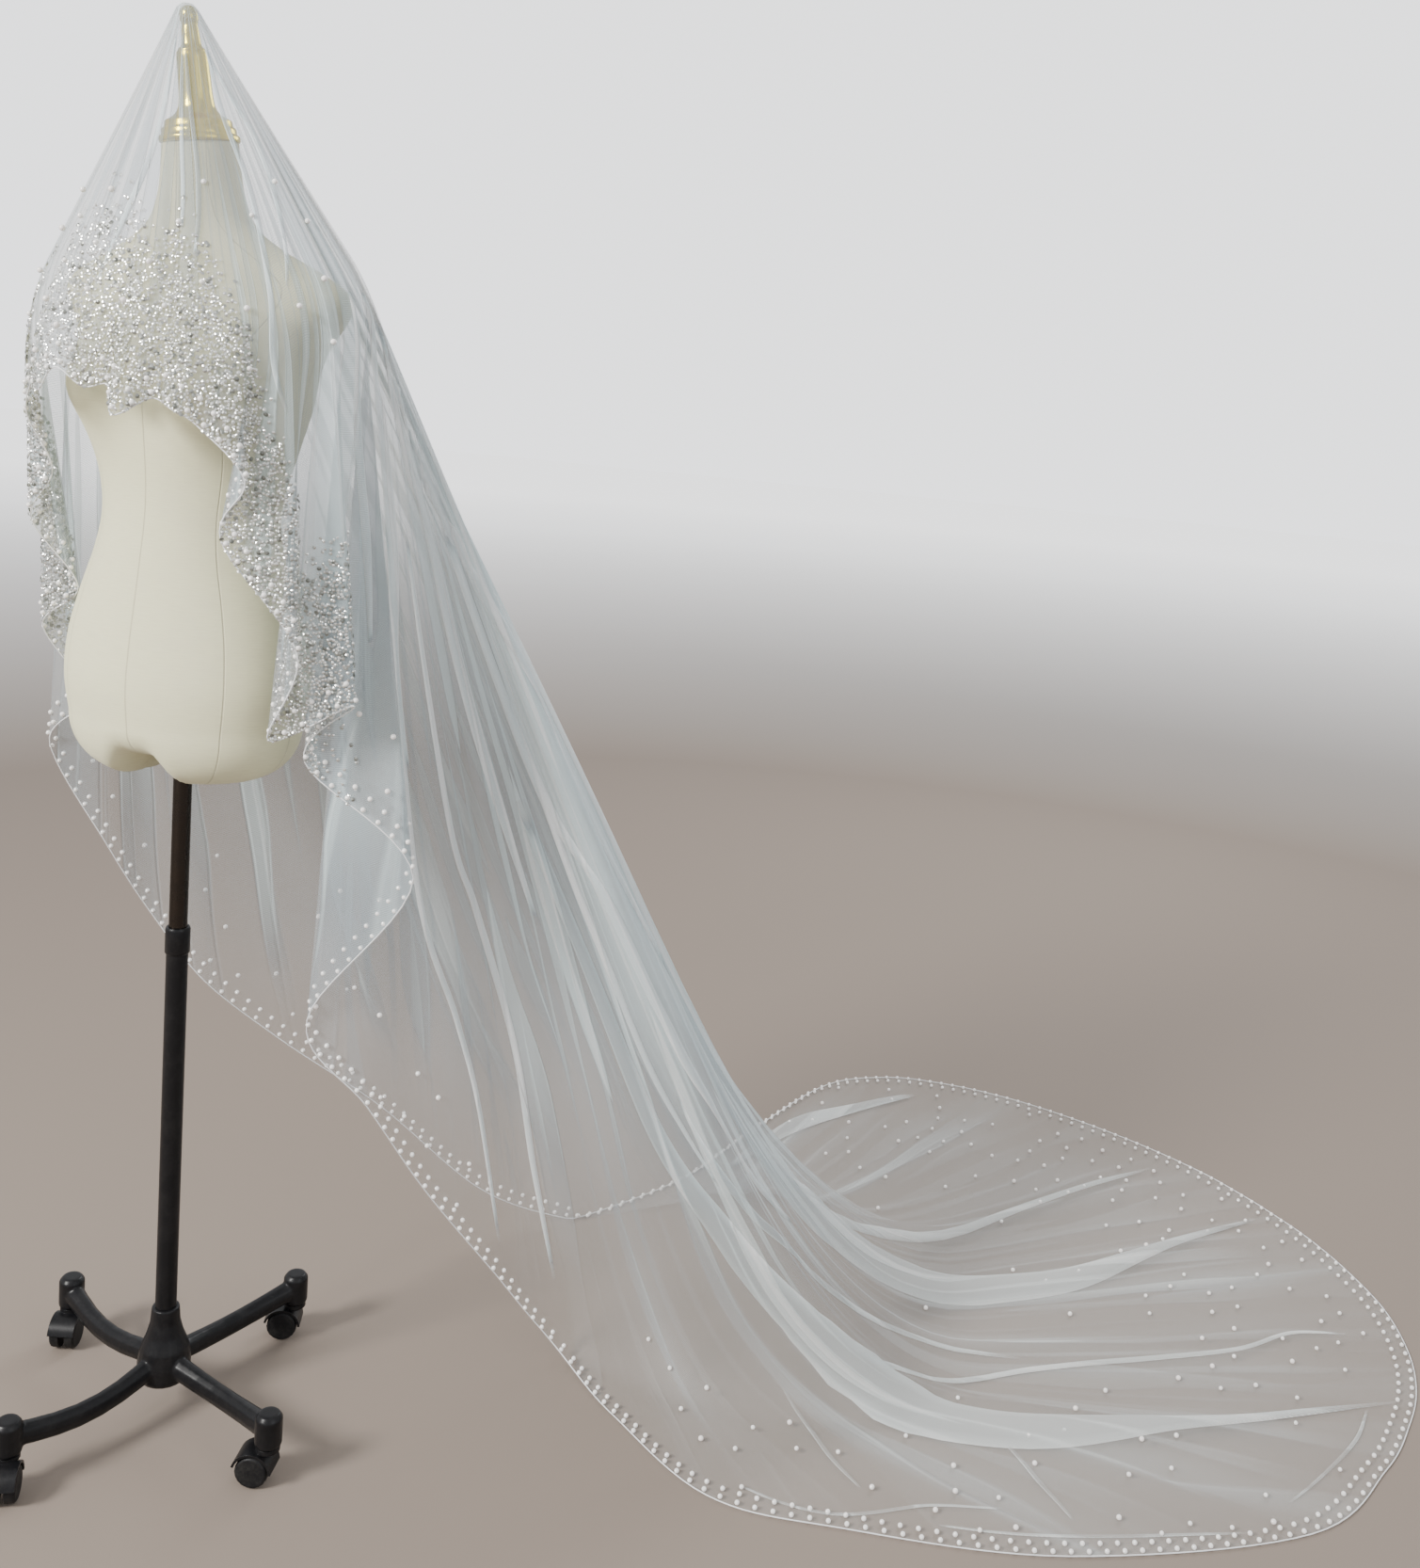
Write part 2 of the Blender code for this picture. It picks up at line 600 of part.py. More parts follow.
def turned(name, profile, sides, material, parent, place=None):
    """Solid turned round Z from a profile of (radius, height), closed at both ends."""
    shape = bmesh.new()
    rows = []
    for radius, height in profile:
        if radius < 1e-6:
            rows.append([shape.verts.new((0, 0, height))])
            continue
        rows.append([shape.verts.new((radius * math.cos(2 * math.pi * k / sides),
                                      radius * math.sin(2 * math.pi * k / sides), height))
                     for k in range(sides)])
    for lower, upper in zip(rows, rows[1:]):
        for c in range(sides):
            d = (c + 1) % sides
            if len(lower) == 1:
                shape.faces.new([lower[0], upper[d], upper[c]])
            elif len(upper) == 1:
                shape.faces.new([lower[c], lower[d], upper[0]])
            else:
                shape.faces.new([lower[c], lower[d], upper[d], upper[c]])
    for row in (rows[0], rows[-1]):
        if len(row) > 1:
            shape.faces.new(row)
    if place is not None:
        bmesh.ops.transform(shape, matrix=place, verts=shape.verts)
    mesh = mesh_from_bmesh(name, shape)
    return add_object(name, mesh, material, parent, 35.0)


# Turned profiles of the neck cap and its finial: radius and height over the cap's foot
CAP_PROFILE = (
    (0.0415, 0.0000), (0.0435, 0.0015), (0.0435, 0.0060), (0.0415, 0.0080),
    (0.0405, 0.0145), (0.0375, 0.0165), (0.0360, 0.0230), (0.0310, 0.0260),
    (0.0240, 0.0310), (0.0198, 0.0390), (0.0180, 0.0540), (0.0170, 0.0900),
    (0.0160, 0.0960),
)
FINIAL_PROFILE = (
    (0.0150, 0.0963), (0.0146, 0.0985), (0.0118, 0.1010), (0.0104, 0.1060),
    (0.0094, 0.1190), (0.0085, 0.1240), (0.0096, 0.1285), (0.0100, 0.1340),
    (0.0086, 0.1395), (0.0050, 0.1430), (0.0000, 0.1442),
)


def cap_frame():
    """Placement of the neck cap on the neck, leaning with it."""
    foot, axis = neck_axis()
    lean = Vector((0, 0, 1)).rotation_difference(axis).to_matrix().to_4x4()
    return Matrix.Translation(foot + axis * GAP) @ lean


def union_into(target, tools):
    """Join the tools to the target with exact Booleans and drop them."""
    for tool in tools:
        modifier = target.modifiers.new("join", "BOOLEAN")
        modifier.operation = "UNION"
        modifier.object = tool
        tool.hide_render = True
        tool.display_type = "WIRE"


def cut_from(target, tools):
    for tool in tools:
        modifier = target.modifiers.new("cut", "BOOLEAN")
        modifier.operation = "DIFFERENCE"
        modifier.object = tool
        tool.hide_render = True
        tool.display_type = "WIRE"


def rod(name, start, stop, radius, sides, material, parent):
    """Round rod between two points."""
    axis = stop - start
    turn = axis.to_track_quat("Z", "Y").to_matrix().to_4x4()
    place = Matrix.Translation(start) @ turn
    profile = ((radius, 0.0), (radius, axis.length))
    return turned(name, profile, sides, material, parent, place)


def build_sleeve(hole, material, parent):
    """Outer tube with a clamp collar at its top, open above for the inner tube."""
    collar = SLEEVE_RADIUS + COLLAR_RISE
    profile = ((SLEEVE_RADIUS, SLEEVE_BOTTOM), (SLEEVE_RADIUS, SLEEVE_TOP - COLLAR_LENGTH),
               (collar, SLEEVE_TOP - COLLAR_LENGTH + COLLAR_EDGE), (collar, SLEEVE_TOP - COLLAR_EDGE),
               (collar - COLLAR_EDGE / 2, SLEEVE_TOP), (hole, SLEEVE_TOP),
               (hole, TUBE_BOTTOM - GAP))
    return turned("outer_tube", profile, 20, material, parent)


# Hub of the base, from its underside up to where the sleeve stands: radius and height
HUB_PROFILE = (
    (0.0280, HUB_BOTTOM), (0.0320, 0.0480), (0.0330, 0.0660), (0.0300, 0.0860),
    (0.0230, 0.1030), (0.0185, 0.1200), (0.0170, HUB_TOP),
)
LEG_SECTIONS = 7
LEG_SIDES = 10
LEG_HUB_Z = 0.067
LEG_SOCKET_Z = 0.071
LEG_DIP = 0.012
LEG_START = 0.012
LEG_SWAY = 0.010
LEG_WAIST = 0.2
LEG_HALF_WIDTH = 0.0140
LEG_HALF_HEIGHT = 0.0145


def leg_mesh(name, material, parent, turn):
    """One curved leg from inside the hub to inside its socket."""
    shape = bmesh.new()
    angle = math.radians(turn)
    outward = Vector((math.cos(angle), math.sin(angle), 0))
    aside = Vector((-math.sin(angle), math.cos(angle), 0))
    rows = []
    for step in range(LEG_SECTIONS + 1):
        share = step / LEG_SECTIONS
        centre = outward * (LEG_START + (LEG_REACH - LEG_START) * share)
        centre += aside * (LEG_SWAY * math.sin(math.pi * share))
        centre.z = LEG_HUB_Z + (LEG_SOCKET_Z - LEG_HUB_Z) * share
        centre.z -= LEG_DIP * math.sin(math.pi * share)
        wide = LEG_HALF_WIDTH * (1 - LEG_WAIST * math.sin(math.pi * share))
        row = []
        for side in range(LEG_SIDES):
            around = 2 * math.pi * side / LEG_SIDES
            rim = aside * (wide * math.cos(around))
            rim.z = LEG_HALF_HEIGHT * math.sin(around)
            row.append(shape.verts.new(centre + rim))
        rows.append(row)
    for lower, upper in zip(rows, rows[1:]):
        for c in range(LEG_SIDES):
            d = (c + 1) % LEG_SIDES
            shape.faces.new([lower[c], lower[d], upper[d], upper[c]])
    shape.faces.new(rows[0])
    shape.faces.new(rows[-1])
    return add_object(name, mesh_from_bmesh(name, shape), material, parent, 35.0)


def leg_turn(index):
    return LEG_TURN + 360.0 / LEG_COUNT * index


def socket_place(index):
    angle = math.radians(leg_turn(index))
    return Vector((LEG_REACH * math.cos(angle), LEG_REACH * math.sin(angle), 0))


def build_base(material, parent):
    """Hub, four curved legs and their caster sockets as one casting."""
    base = turned("stand_base", HUB_PROFILE, 20, material, parent)
    tools = []
    cutters = []
    for index in range(LEG_COUNT):
        tools.append(leg_mesh(f"leg_tool_{index}", material, parent, leg_turn(index)))
        place = Matrix.Translation(socket_place(index))
        socket = ((0.0150, SOCKET_BOTTOM), (SOCKET_RADIUS, SOCKET_BOTTOM + 0.003),
                  (SOCKET_RADIUS, SOCKET_TOP - 0.006), (0.0120, SOCKET_TOP))
        tools.append(turned(f"socket_tool_{index}", socket, 16, material, parent, place))
        hole = ((STEM_HOLE, SOCKET_BOTTOM - 0.01), (STEM_HOLE, STEM_TOP + 0.0005))
        cutters.append(turned(f"hole_tool_{index}", hole, 12, material, parent, place))
    union_into(base, tools)
    cut_from(base, cutters)
    return base


def build_caster(index, dark, rubber, parent):
    """Swivelling fork with its stem, and a pair of wheels on one axle."""
    number = index + 1
    swivel = bpy.data.objects.new(f"caster_pivot_{number}", None)
    bpy.context.scene.collection.objects.link(swivel)
    swivel.parent = parent
    swivel.location = socket_place(index)
    swivel.rotation_euler = (0, 0, math.radians(CASTER_TURNS[index]))
    axle = Vector((CASTER_TRAIL, 0, WHEEL_RADIUS))
    across = Matrix.Rotation(math.radians(90), 4, "X")

    fork = turned(f"caster_fork_{number}",
                  ((BOSS_RADIUS - BOSS_EDGE, BOSS_BOTTOM), (BOSS_RADIUS, BOSS_BOTTOM + BOSS_EDGE),
                   (BOSS_RADIUS, SOCKET_BOTTOM - GAP), (STEM_RADIUS, SOCKET_BOTTOM - GAP),
                   (STEM_RADIUS, STEM_TOP)), 16, dark, swivel)
    web = fork_web(f"web_tool_{number}", axle, dark, swivel)
    hood_half = WEB_HALF + WHEEL_WIDTH + GUARD_MARGIN
    hood = fender(f"hood_tool_{number}", axle, hood_half, dark, swivel)
    union_into(fork, [web, hood])
    hole = ((AXLE_HOLE, -0.05), (AXLE_HOLE, 0.05))
    cut_from(fork, [turned(f"axle_tool_{number}", hole, 12, dark, swivel,
                           Matrix.Translation(axle) @ across)])

    inner = WEB_HALF + WHEEL_PLAY
    outer = inner + WHEEL_WIDTH
    shoulder = WHEEL_RADIUS - WHEEL_EDGE
    profile = ((shoulder, -outer), (WHEEL_RADIUS, -outer + WHEEL_EDGE),
               (WHEEL_RADIUS, -inner), (AXLE_RADIUS, -inner),
               (AXLE_RADIUS, inner), (WHEEL_RADIUS, inner),
               (WHEEL_RADIUS, outer - WHEEL_EDGE), (shoulder, outer))
    roll = Matrix.Rotation(math.radians(180.0 / WHEEL_SIDES - 90.0), 4, "Z")
    wheels = turned(f"caster_wheels_{number}", profile, WHEEL_SIDES, rubber, swivel,
                    across @ roll)
    wheels.location = axle
    return swivel


def fork_web(name, axle, material, parent):
    """Plate between the wheels, from the axle up to the guard."""
    shape = bmesh.new()
    outline = []
    for step in range(11):
        angle = math.radians(12 + 164 * step / 10)
        outline.append((WHEEL_RADIUS + WEB_RISE, angle))
    for step in range(7):
        angle = math.radians(184 + 172 * step / 6)
        outline.append((WEB_FOOT, angle))
    rows = [[shape.verts.new((axle.x + radius * math.cos(angle), side * WEB_HALF,
                              axle.z + radius * math.sin(angle)))
             for radius, angle in outline] for side in (-1, 1)]
    count = len(outline)
    for c in range(count):
        d = (c + 1) % count
        shape.faces.new([rows[0][c], rows[0][d], rows[1][d], rows[1][c]])
    shape.faces.new(rows[0])
    shape.faces.new(rows[1])
    return add_object(name, mesh_from_bmesh(name, shape), material, parent, 35.0)


def fender(name, axle, half_width, material, parent):
    """Curved guard over the top of the wheels."""
    shape = bmesh.new()
    inner, outer = WHEEL_RADIUS + GUARD_INNER, WHEEL_RADIUS + GUARD_OUTER
    steps = 12
    start, stop = math.radians(15), math.radians(178)
    rows = []
    for step in range(steps + 1):
        angle = start + (stop - start) * step / steps
        row = []
        for radius, side in ((inner, -1), (outer, -1), (outer, 1), (inner, 1)):
            row.append(shape.verts.new((axle.x + radius * math.cos(angle),
                                        side * half_width,
                                        axle.z + radius * math.sin(angle))))
        rows.append(row)
    for lower, upper in zip(rows, rows[1:]):
        for c in range(4):
            d = (c + 1) % 4
            shape.faces.new([lower[c], lower[d], upper[d], upper[c]])
    shape.faces.new(rows[0])
    shape.faces.new(rows[-1])
    return add_object(name, mesh_from_bmesh(name, shape), material, parent, 35.0)


def centre_on_origin(root):
    """Move the root so that the whole part's box stands centred on the origin."""
    bpy.context.view_layer.update()
    graph = bpy.context.evaluated_depsgraph_get()
    low = Vector((1e9, 1e9, 1e9))
    high = -low
    for part in bpy.context.scene.objects:
        if part.type != "MESH" or part.hide_render:
            continue
        shown = part.evaluated_get(graph)
        for vertex in shown.data.vertices:
            point = part.matrix_world @ vertex.co
            low = Vector(map(min, low, point))
            high = Vector(map(max, high, point))
    root.location = (-(low.x + high.x) / 2, -(low.y + high.y) / 2, -low.z)
    bpy.context.view_layer.update()
    print("box", [round(v, 4) for v in high - low], "root at",
          [round(v, 4) for v in root.location])


def main():
    for part in list(bpy.data.objects):
        bpy.data.objects.remove(part)
    tulle = new_material("tulle", (0.80, 0.85, 0.88), 0.55, alpha=0.75)
    linen = new_material("form_linen", (0.70, 0.66, 0.53), 0.80)
    brass = new_material("cap_brass", (0.80, 0.66, 0.30), 0.25, 1.0)
    chrome = new_material("tube_chrome", (0.30, 0.28, 0.27), 0.25, 1.0)
    black = new_material("stand_black", (0.010, 0.010, 0.011), 0.30)
    tread = new_material("wheel_black", (0.014, 0.014, 0.015), 0.45)

    root = bpy.data.objects.new("veil_on_form", None)
    bpy.context.scene.collection.objects.link(root)
    for stretch in STRETCHES:
        build_stretch(stretch, tulle, root)
    build_crown(tulle, root)

    form, seat = build_form(linen, root)
    turned("neck_cap", CAP_PROFILE, 24, brass, root, cap_frame())
    turned("finial", FINIAL_PROFILE, 16, brass, root, cap_frame())
    rod("inner_tube", Vector((0, 0, TUBE_BOTTOM)), Vector((0, 0, seat - GAP)),
        TUBE_RADIUS, 20, chrome, root)
    build_sleeve(TUBE_RADIUS + GAP, black, root)
    build_base(black, root)
    for index in range(LEG_COUNT):
        build_caster(index, black, tread, root)
    centre_on_origin(root)


main()
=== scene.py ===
import math
from functools import partial

import bmesh
import bpy
import numpy as np
from mathutils import Matrix, Vector


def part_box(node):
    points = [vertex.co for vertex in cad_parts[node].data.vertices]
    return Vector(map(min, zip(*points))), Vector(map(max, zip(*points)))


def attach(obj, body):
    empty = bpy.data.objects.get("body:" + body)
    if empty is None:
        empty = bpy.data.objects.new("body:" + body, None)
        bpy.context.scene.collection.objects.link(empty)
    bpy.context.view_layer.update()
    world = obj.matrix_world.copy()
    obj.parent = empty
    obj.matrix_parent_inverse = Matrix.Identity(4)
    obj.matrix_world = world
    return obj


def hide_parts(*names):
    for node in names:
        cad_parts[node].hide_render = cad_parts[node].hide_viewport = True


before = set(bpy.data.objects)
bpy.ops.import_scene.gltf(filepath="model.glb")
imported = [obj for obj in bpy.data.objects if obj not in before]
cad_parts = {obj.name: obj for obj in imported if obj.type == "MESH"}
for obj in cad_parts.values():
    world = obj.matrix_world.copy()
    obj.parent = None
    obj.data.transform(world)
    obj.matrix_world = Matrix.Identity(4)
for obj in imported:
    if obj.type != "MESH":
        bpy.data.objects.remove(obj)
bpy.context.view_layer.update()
tubeLow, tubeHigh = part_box("outer_tube")
polePlace = Vector(((tubeLow[0] + tubeHigh[0]) / 2, (tubeLow[1] + tubeHigh[1]) / 2, 0))
mainBody = "veil_and_stand"
print("frame loaded, pole at", [round(v, 4) for v in polePlace])


# plain helpers

def smoothStep(low, high, value):
    share = np.clip((value - low) / (high - low), 0.0, 1.0)
    return share * share * (3.0 - 2.0 * share)


def fadeOut(low, high, value):
    return 1 - smoothStep(low, high, value)


def between(before, start, stop, after, share):
    # smooth curve from start to stop, bent by the values on either side
    return 0.5 * (2 * start + (stop - before) * share
                  + (2 * before - 5 * start + 4 * stop - after) * share * share
                  + (3 * start - before - 3 * stop + after) * share ** 3)


def runAlong(points):
    # distance of each point from the first, along the line
    steps = np.linalg.norm(np.diff(points, axis=0), axis=1)
    return np.concatenate([[0.0], np.cumsum(steps)])


def valuesAt(wanted, run, rows):
    # rows of numbers, read at the wanted places of a run
    return np.stack([np.interp(wanted, run, column) for column in rows.T], axis=-1)


def closedRing(path):
    return np.vstack([path, path[:1]])


def setAll(thing, **values):
    for name, value in values.items():
        setattr(thing, name, value)
    return thing


def linkObject(piece):
    bpy.context.scene.collection.objects.link(piece)
    return piece


def meshPiece(name, points, faces, smooth=True):
    mesh = bpy.data.meshes.new(name)
    mesh.from_pydata([tuple(p) for p in points], [], [tuple(f) for f in faces])
    if smooth:
        mesh.shade_smooth()
    return linkObject(bpy.data.objects.new(name, mesh))


def toPole(piece):
    # move a mesh from the pole's own frame to its place in the row
    piece.data.transform(Matrix.Translation(polePlace))
    return piece


def rework(mesh, *steps):
    # each step works on the mesh in turn
    shape = bmesh.new()
    shape.from_mesh(mesh)
    for step in steps:
        step(shape)
    shape.to_mesh(mesh)
    shape.free()


def faceOutward(shape):
    bmesh.ops.recalc_face_normals(shape, faces=shape.faces)


def storeFloats(piece, name, values):
    layer = piece.data.attributes.new(name, "FLOAT", "POINT")
    layer.data.foreach_set("value", np.asarray(values, dtype=np.float32))


def storeMap(piece, name, perCorner):
    layer = piece.data.uv_layers.new(name=name)
    layer.data.foreach_set("uv", perCorner.astype(np.float32).ravel())


def cornerPoints(piece):
    return np.array([loop.vertex_index for loop in piece.data.loops])


# the cloth: one oval of tulle, drawn as ribs from the crown to the hem

veil = dict(
    crown=(0.0, -0.034, 1.7072), crownRadius=0.0115, crownDrop=0.0060,
    domeRadius=0.0062, domeDrop=0.0012,
    ringHalfWidth=0.206, ringX=0.008, ringFront=0.158, ringBack=0.136,
    ringHeight=1.402, ringFrontDrop=0.066, ringBend=0.055, leastFlare=0.020,
    half=0.0008, ringShare=0.35, fullDepth=1.20, shortFall=1.20, longFall=1.60,
    cascadeShare=0.12, cascadeCalm=0.6, freeReach=0.12, settleReach=0.2,
    hemFade=0.30, hemClear=0.03, hemCalm=0.75, hemThin=0.4,
    columnsPerRib=10, topRows=20, ringRows=12, lowerRows=128, bendSteps=12,
    foldHeight=0.0060, foldsPerRib=0.72, floorFold=0.0016, foldFrom=0.01, foldFull=0.35,
    cutWidth=1.60, cutLength=3.45, cutAhead=0.52, cutArea=4.3, rimSteps=1441,
    netAlpha=0.26, crestGain=0.20, crestSize=0.010, crestLayers=1.4, mostRaised=1.4,
    crownLayers=0.5, crownReach=0.05, domeLayers=2.0, floorShare=0.08,
    backFrom=(17.5, 20), backUntil=(46, 49),
    gatherAt=(0.0, 0.05, 0.30, 0.55, 0.90, 1.30, 1.90),
    gather=(0.9, 0.60, 0.80, 1.7, 2.1, 1.85, 0.95),
    sideGather=(0.9, 0.60, 0.75, 1.20, 1.15, 1.35, 1.1))

# a rib that lies on the floor: name, turn on the shoulder ring, foot x y z, end x y, bend up and
# out, crest on the fall, lay on the floor, layers of cloth gathered there, share of fine folds;
# a rib that hangs ends at its foot: name, turn, foot x y z, crest, layers, share of fine folds
ribs = (
    ("frontRight", -34, -0.118, -0.128, 1.280, 0, 2.4, 0.5),
    ("frontRightDip", -25, -0.086, -0.150, 1.276, 0.011, 2.4, 0.5),
    ("frontRightRise", -16, -0.054, -0.162, 1.302, 0, 2.4, 0.5),
    ("frontMiddleDip", -6, -0.020, -0.158, 1.284, 0.011, 2.4, 0.5),
    ("frontMiddle", 4, 0.014, -0.160, 1.288, 0, 2.4, 0.5),
    ("frontNarrowFold", 12, 0.042, -0.184, 1.258, 0.012, 2.4, 0.5),
    ("frontLeftRise", 20, 0.068, -0.158, 1.278, 0, 2.4, 0.5),
    ("frontLeftDip", 27, 0.094, -0.156, 1.268, 0.010, 2.4, 0.5),
    ("frontLeft", 35, 0.120, -0.146, 1.252, 0, 2.4, 0.5),
    ("leftHiddenFold", 42, 0.170, -0.134, 1.200, 0.010, 2.6, 0.5),
    ("leftFirstInner", 50, 0.134, -0.122, 1.134, 0, 2.6, 0.5),
    ("leftFirstOuter", 59, 0.214, -0.092, 1.018, 0.010, 2.6, 0.5),
    ("leftSecondInner", 67, 0.170, -0.074, 0.912, 0, 2.6, 0.5),
    ("leftSecondOuter", 75, 0.256, -0.040, 0.958, 0.010, 2.6, 0.5),
    ("leftThirdInner", 83, 0.185, -0.024, 0.880, 0, 2.6, 0.5),
    ("leftThirdOuter", 91, 0.304, 0.026, 0.750, 0.010, 2.6, 0.5),
    ("leftTail", 99, 0.168, 0.030, 0.545, 0, 1.7, 0.6),
    ("leftSideHigh", 103, 0.224, 0.085, 0.425, 0.010, 1.7, 0.6),
    ("leftSideMiddle", 106, 0.276, 0.155, 0.290, 0, 1.2, 0.8),
    ("leftSideLow", 109, 0.338, 0.240, 0.150, 0.012, 1.2, 0.8),
    ("leftSideTouch", 112, 0.400, 0.318, 0.020, 0.408, 0.308, 0.03, 0.005, 0, 0, 1.2, 0.8),
    ("leftSideFloor", 115, 0.456, 0.352, 0, 0.52, 0.24, 0.15, 0.05, 0.010, 0.004, 1.2, 0.8),
    ("nearCorner", 118, 0.52, 0.372, 0, 0.690, 0.148, 0.25, 0.10, 0, 0, 1.5, 1.0),
    ("nearEdge", 121, 0.585, 0.385, 0, 0.860, 0.166, 0.33, 0.13, 0.009, 0.005, 1.5, 1.0),
    ("nearOuter", 124, 0.655, 0.392, 0, 1.120, 0.238, 0.40, 0.17, 0, 0, 1.5, 1.0),
    ("nearBandOut", 126.5, 0.715, 0.398, 0, 1.400, 0.410, 0.48, 0.20, 0.001, 0.001, 3.0, 1.0),
    ("nearBand", 129, 0.757, 0.41, 0, 1.500, 0.585, 0.52, 0.21, 0.016, 0.014, 3.0, 1.0),
    ("nearBandIn", 131.5, 0.768, 0.44, 0, 1.540, 0.705, 0.54, 0.21, 0.001, 0.001, 3.0, 1.0),
    ("nearValley", 133.5, 0.763, 0.47, 0, 1.558, 0.800, 0.56, 0.22, 0, 0, 3.0, 1.0),
    ("endCrease", 135.5, 0.750, 0.502, 0, 1.556, 0.900, 0.58, 0.22, 0.010, 0.007, 3.0, 1.0),
    ("endValley", 137.5, 0.735, 0.535, 0, 1.530, 1.010, 0.62, 0.24, 0, 0, 3.2, 1.0),
    ("wideBandOut", 139.5, 0.722, 0.560, 0, 1.478, 1.110, 0.66, 0.25, 0.001, 0.001, 3.2, 1.0),
    ("wideBand", 141.5, 0.708, 0.590, 0, 1.425, 1.185, 0.70, 0.27, 0.015, 0.013, 3.2, 1.0),
    ("wideBandIn", 143.5, 0.690, 0.618, 0, 1.368, 1.245, 0.74, 0.30, 0.001, 0.001, 3.2, 1.0),
    ("ridgeValley", 145.5, 0.670, 0.640, 0, 1.318, 1.290, 0.78, 0.32, 0, 0, 3.2, 1.0),
    ("ridge", 148, 0.645, 0.662, 0, 1.245, 1.345, 0.82, 0.35, 0.014, 0.011, 3.2, 1.0),
    ("farValley", 151, 0.614, 0.680, 0, 1.130, 1.405, 0.76, 0.33, 0, 0, 2.6, 1.0),
    ("farCrease", 154, 0.582, 0.692, 0, 0.990, 1.455, 0.66, 0.30, 0.009, 0.006, 2.6, 1.0),
    ("farHollow", 158, 0.55, 0.700, 0, 0.850, 1.482, 0.55, 0.27, 0, 0, 2.6, 1.0),
    ("farBand", 162, 0.519, 0.706, 0, 0.725, 1.480, 0.44, 0.24, 0.010, 0.009, 2.6, 1.0),
    ("farEdge", 166, 0.489, 0.708, 0, 0.618, 1.448, 0.35, 0.21, 0, 0, 1.6, 0.8),
    ("farCorner", 171, 0.459, 0.708, 0, 0.520, 1.350, 0.26, 0.17, 0.009, 0.005, 1.6, 0.8),
    ("rightSideBend", 176, 0.422, 0.702, 0, 0.450, 1.110, 0.19, 0.12, 0, 0, 1.6, 0.8),
    ("rightSideFloor", 182, 0.352, 0.684, 0, 0.392, 0.860, 0.13, 0.05, 0.006, 0, 1.3, 0.7),
    ("rightSideTouch", 189, 0.272, 0.64, 0.006, 0, 1.3, 0.7),
    ("rightSideLow", 199, 0.172, 0.528, 0.085, 0.012, 1.3, 0.7),
    ("rightSideMiddle", 210, 0.058, 0.403, 0.250, 0, 1.3, 0.7),
    ("rightSideHigh", 221, -0.045, 0.290, 0.375, 0.012, 1.3, 0.7),
    ("rightSideBack", 232, -0.116, 0.210, 0.475, 0, 1.3, 0.7),
    ("rightTail", 243, -0.166, 0.160, 0.575, 0.010, 1.8, 0.6),
    ("rightTailRise", 253, -0.202, 0.110, 0.680, 0, 1.8, 0.6),
    ("rightThirdOuter", 262, -0.250, 0.056, 0.822, 0.010, 2.5, 0.5),
    ("rightThirdInner", 271, -0.172, 0.030, 0.900, 0, 2.5, 0.5),
    ("rightSecondOuter", 280, -0.200, -0.014, 0.990, 0.010, 2.5, 0.5),
    ("rightSecondInner", 289, -0.140, -0.024, 1.045, 0, 2.5, 0.5),
    ("rightFirstOuter", 298, -0.172, -0.066, 1.125, 0.008, 2.5, 0.5),
    ("rightFirstInner", 307, -0.130, -0.080, 1.185, 0, 2.5, 0.5),
    ("rightFrontFold", 316, -0.138, -0.110, 1.245, 0.008, 2.5, 0.5),
)
ribIndex = {row[0]: index for index, row in enumerate(ribs)}


def ribRow(name, turn, x, y, z, *rest):
    if len(rest) > 3:
        return turn, x, y, z, *rest
    crest, layers, fine = rest
    return turn, x, y, z, x, y, 0, 0, crest, 0, layers, fine


ribNumbers = np.array([ribRow(*row) for row in ribs], dtype=float)


def ribAt(place):
    # numbers of the ribs at a fractional place, smooth from rib to rib
    index = math.floor(place)
    rows = []
    for step in range(index - 1, index + 3):
        row = ribNumbers[step % len(ribs)].copy()
        row[0] += 360.0 * (step // len(ribs))
        rows.append(row)
    return between(*rows, place - index)


def ribKnots(numbers):
    turn, footX, footY, footZ, endX, endY, flareUp, flareOut = numbers[:8]
    angle = math.radians(turn)
    aside, forward = math.sin(angle), math.cos(angle)
    top = Vector(veil["crown"]) + Vector((
        veil["crownRadius"] * aside, -veil["crownRadius"] * forward, -veil["crownDrop"]))
    depth = veil["ringFront"] if forward > 0 else veil["ringBack"]
    ring = Vector((veil["ringX"] + veil["ringHalfWidth"] * aside, -depth * forward,
                   veil["ringHeight"] - veil["ringFrontDrop"] * max(0.0, forward)))
    foot = Vector((footX, footY, max(0.0, footZ) + veil["half"]))
    lies = min(1.0, max(0.0, flareUp / veil["leastFlare"]))
    end = foot.lerp(Vector((endX, endY, foot.z)), lies)
    above = (ring - top).normalized()
    down = (foot - ring).normalized()
    reach = (foot - ring).length
    turnIn = min(veil["ringBend"], 0.45 * reach)
    rise = min(max(0.0, flareUp), 0.9 * (reach - turnIn))
    run = min(max(0.0, flareOut), 0.9 * (end - foot).length)
    lift = foot - down * rise
    touch = foot + (end - foot).normalized() * run if run > 0 else foot.copy()
    return top, ring, foot, end, ring - above * veil["ringBend"], ring + down * turnIn, lift, touch


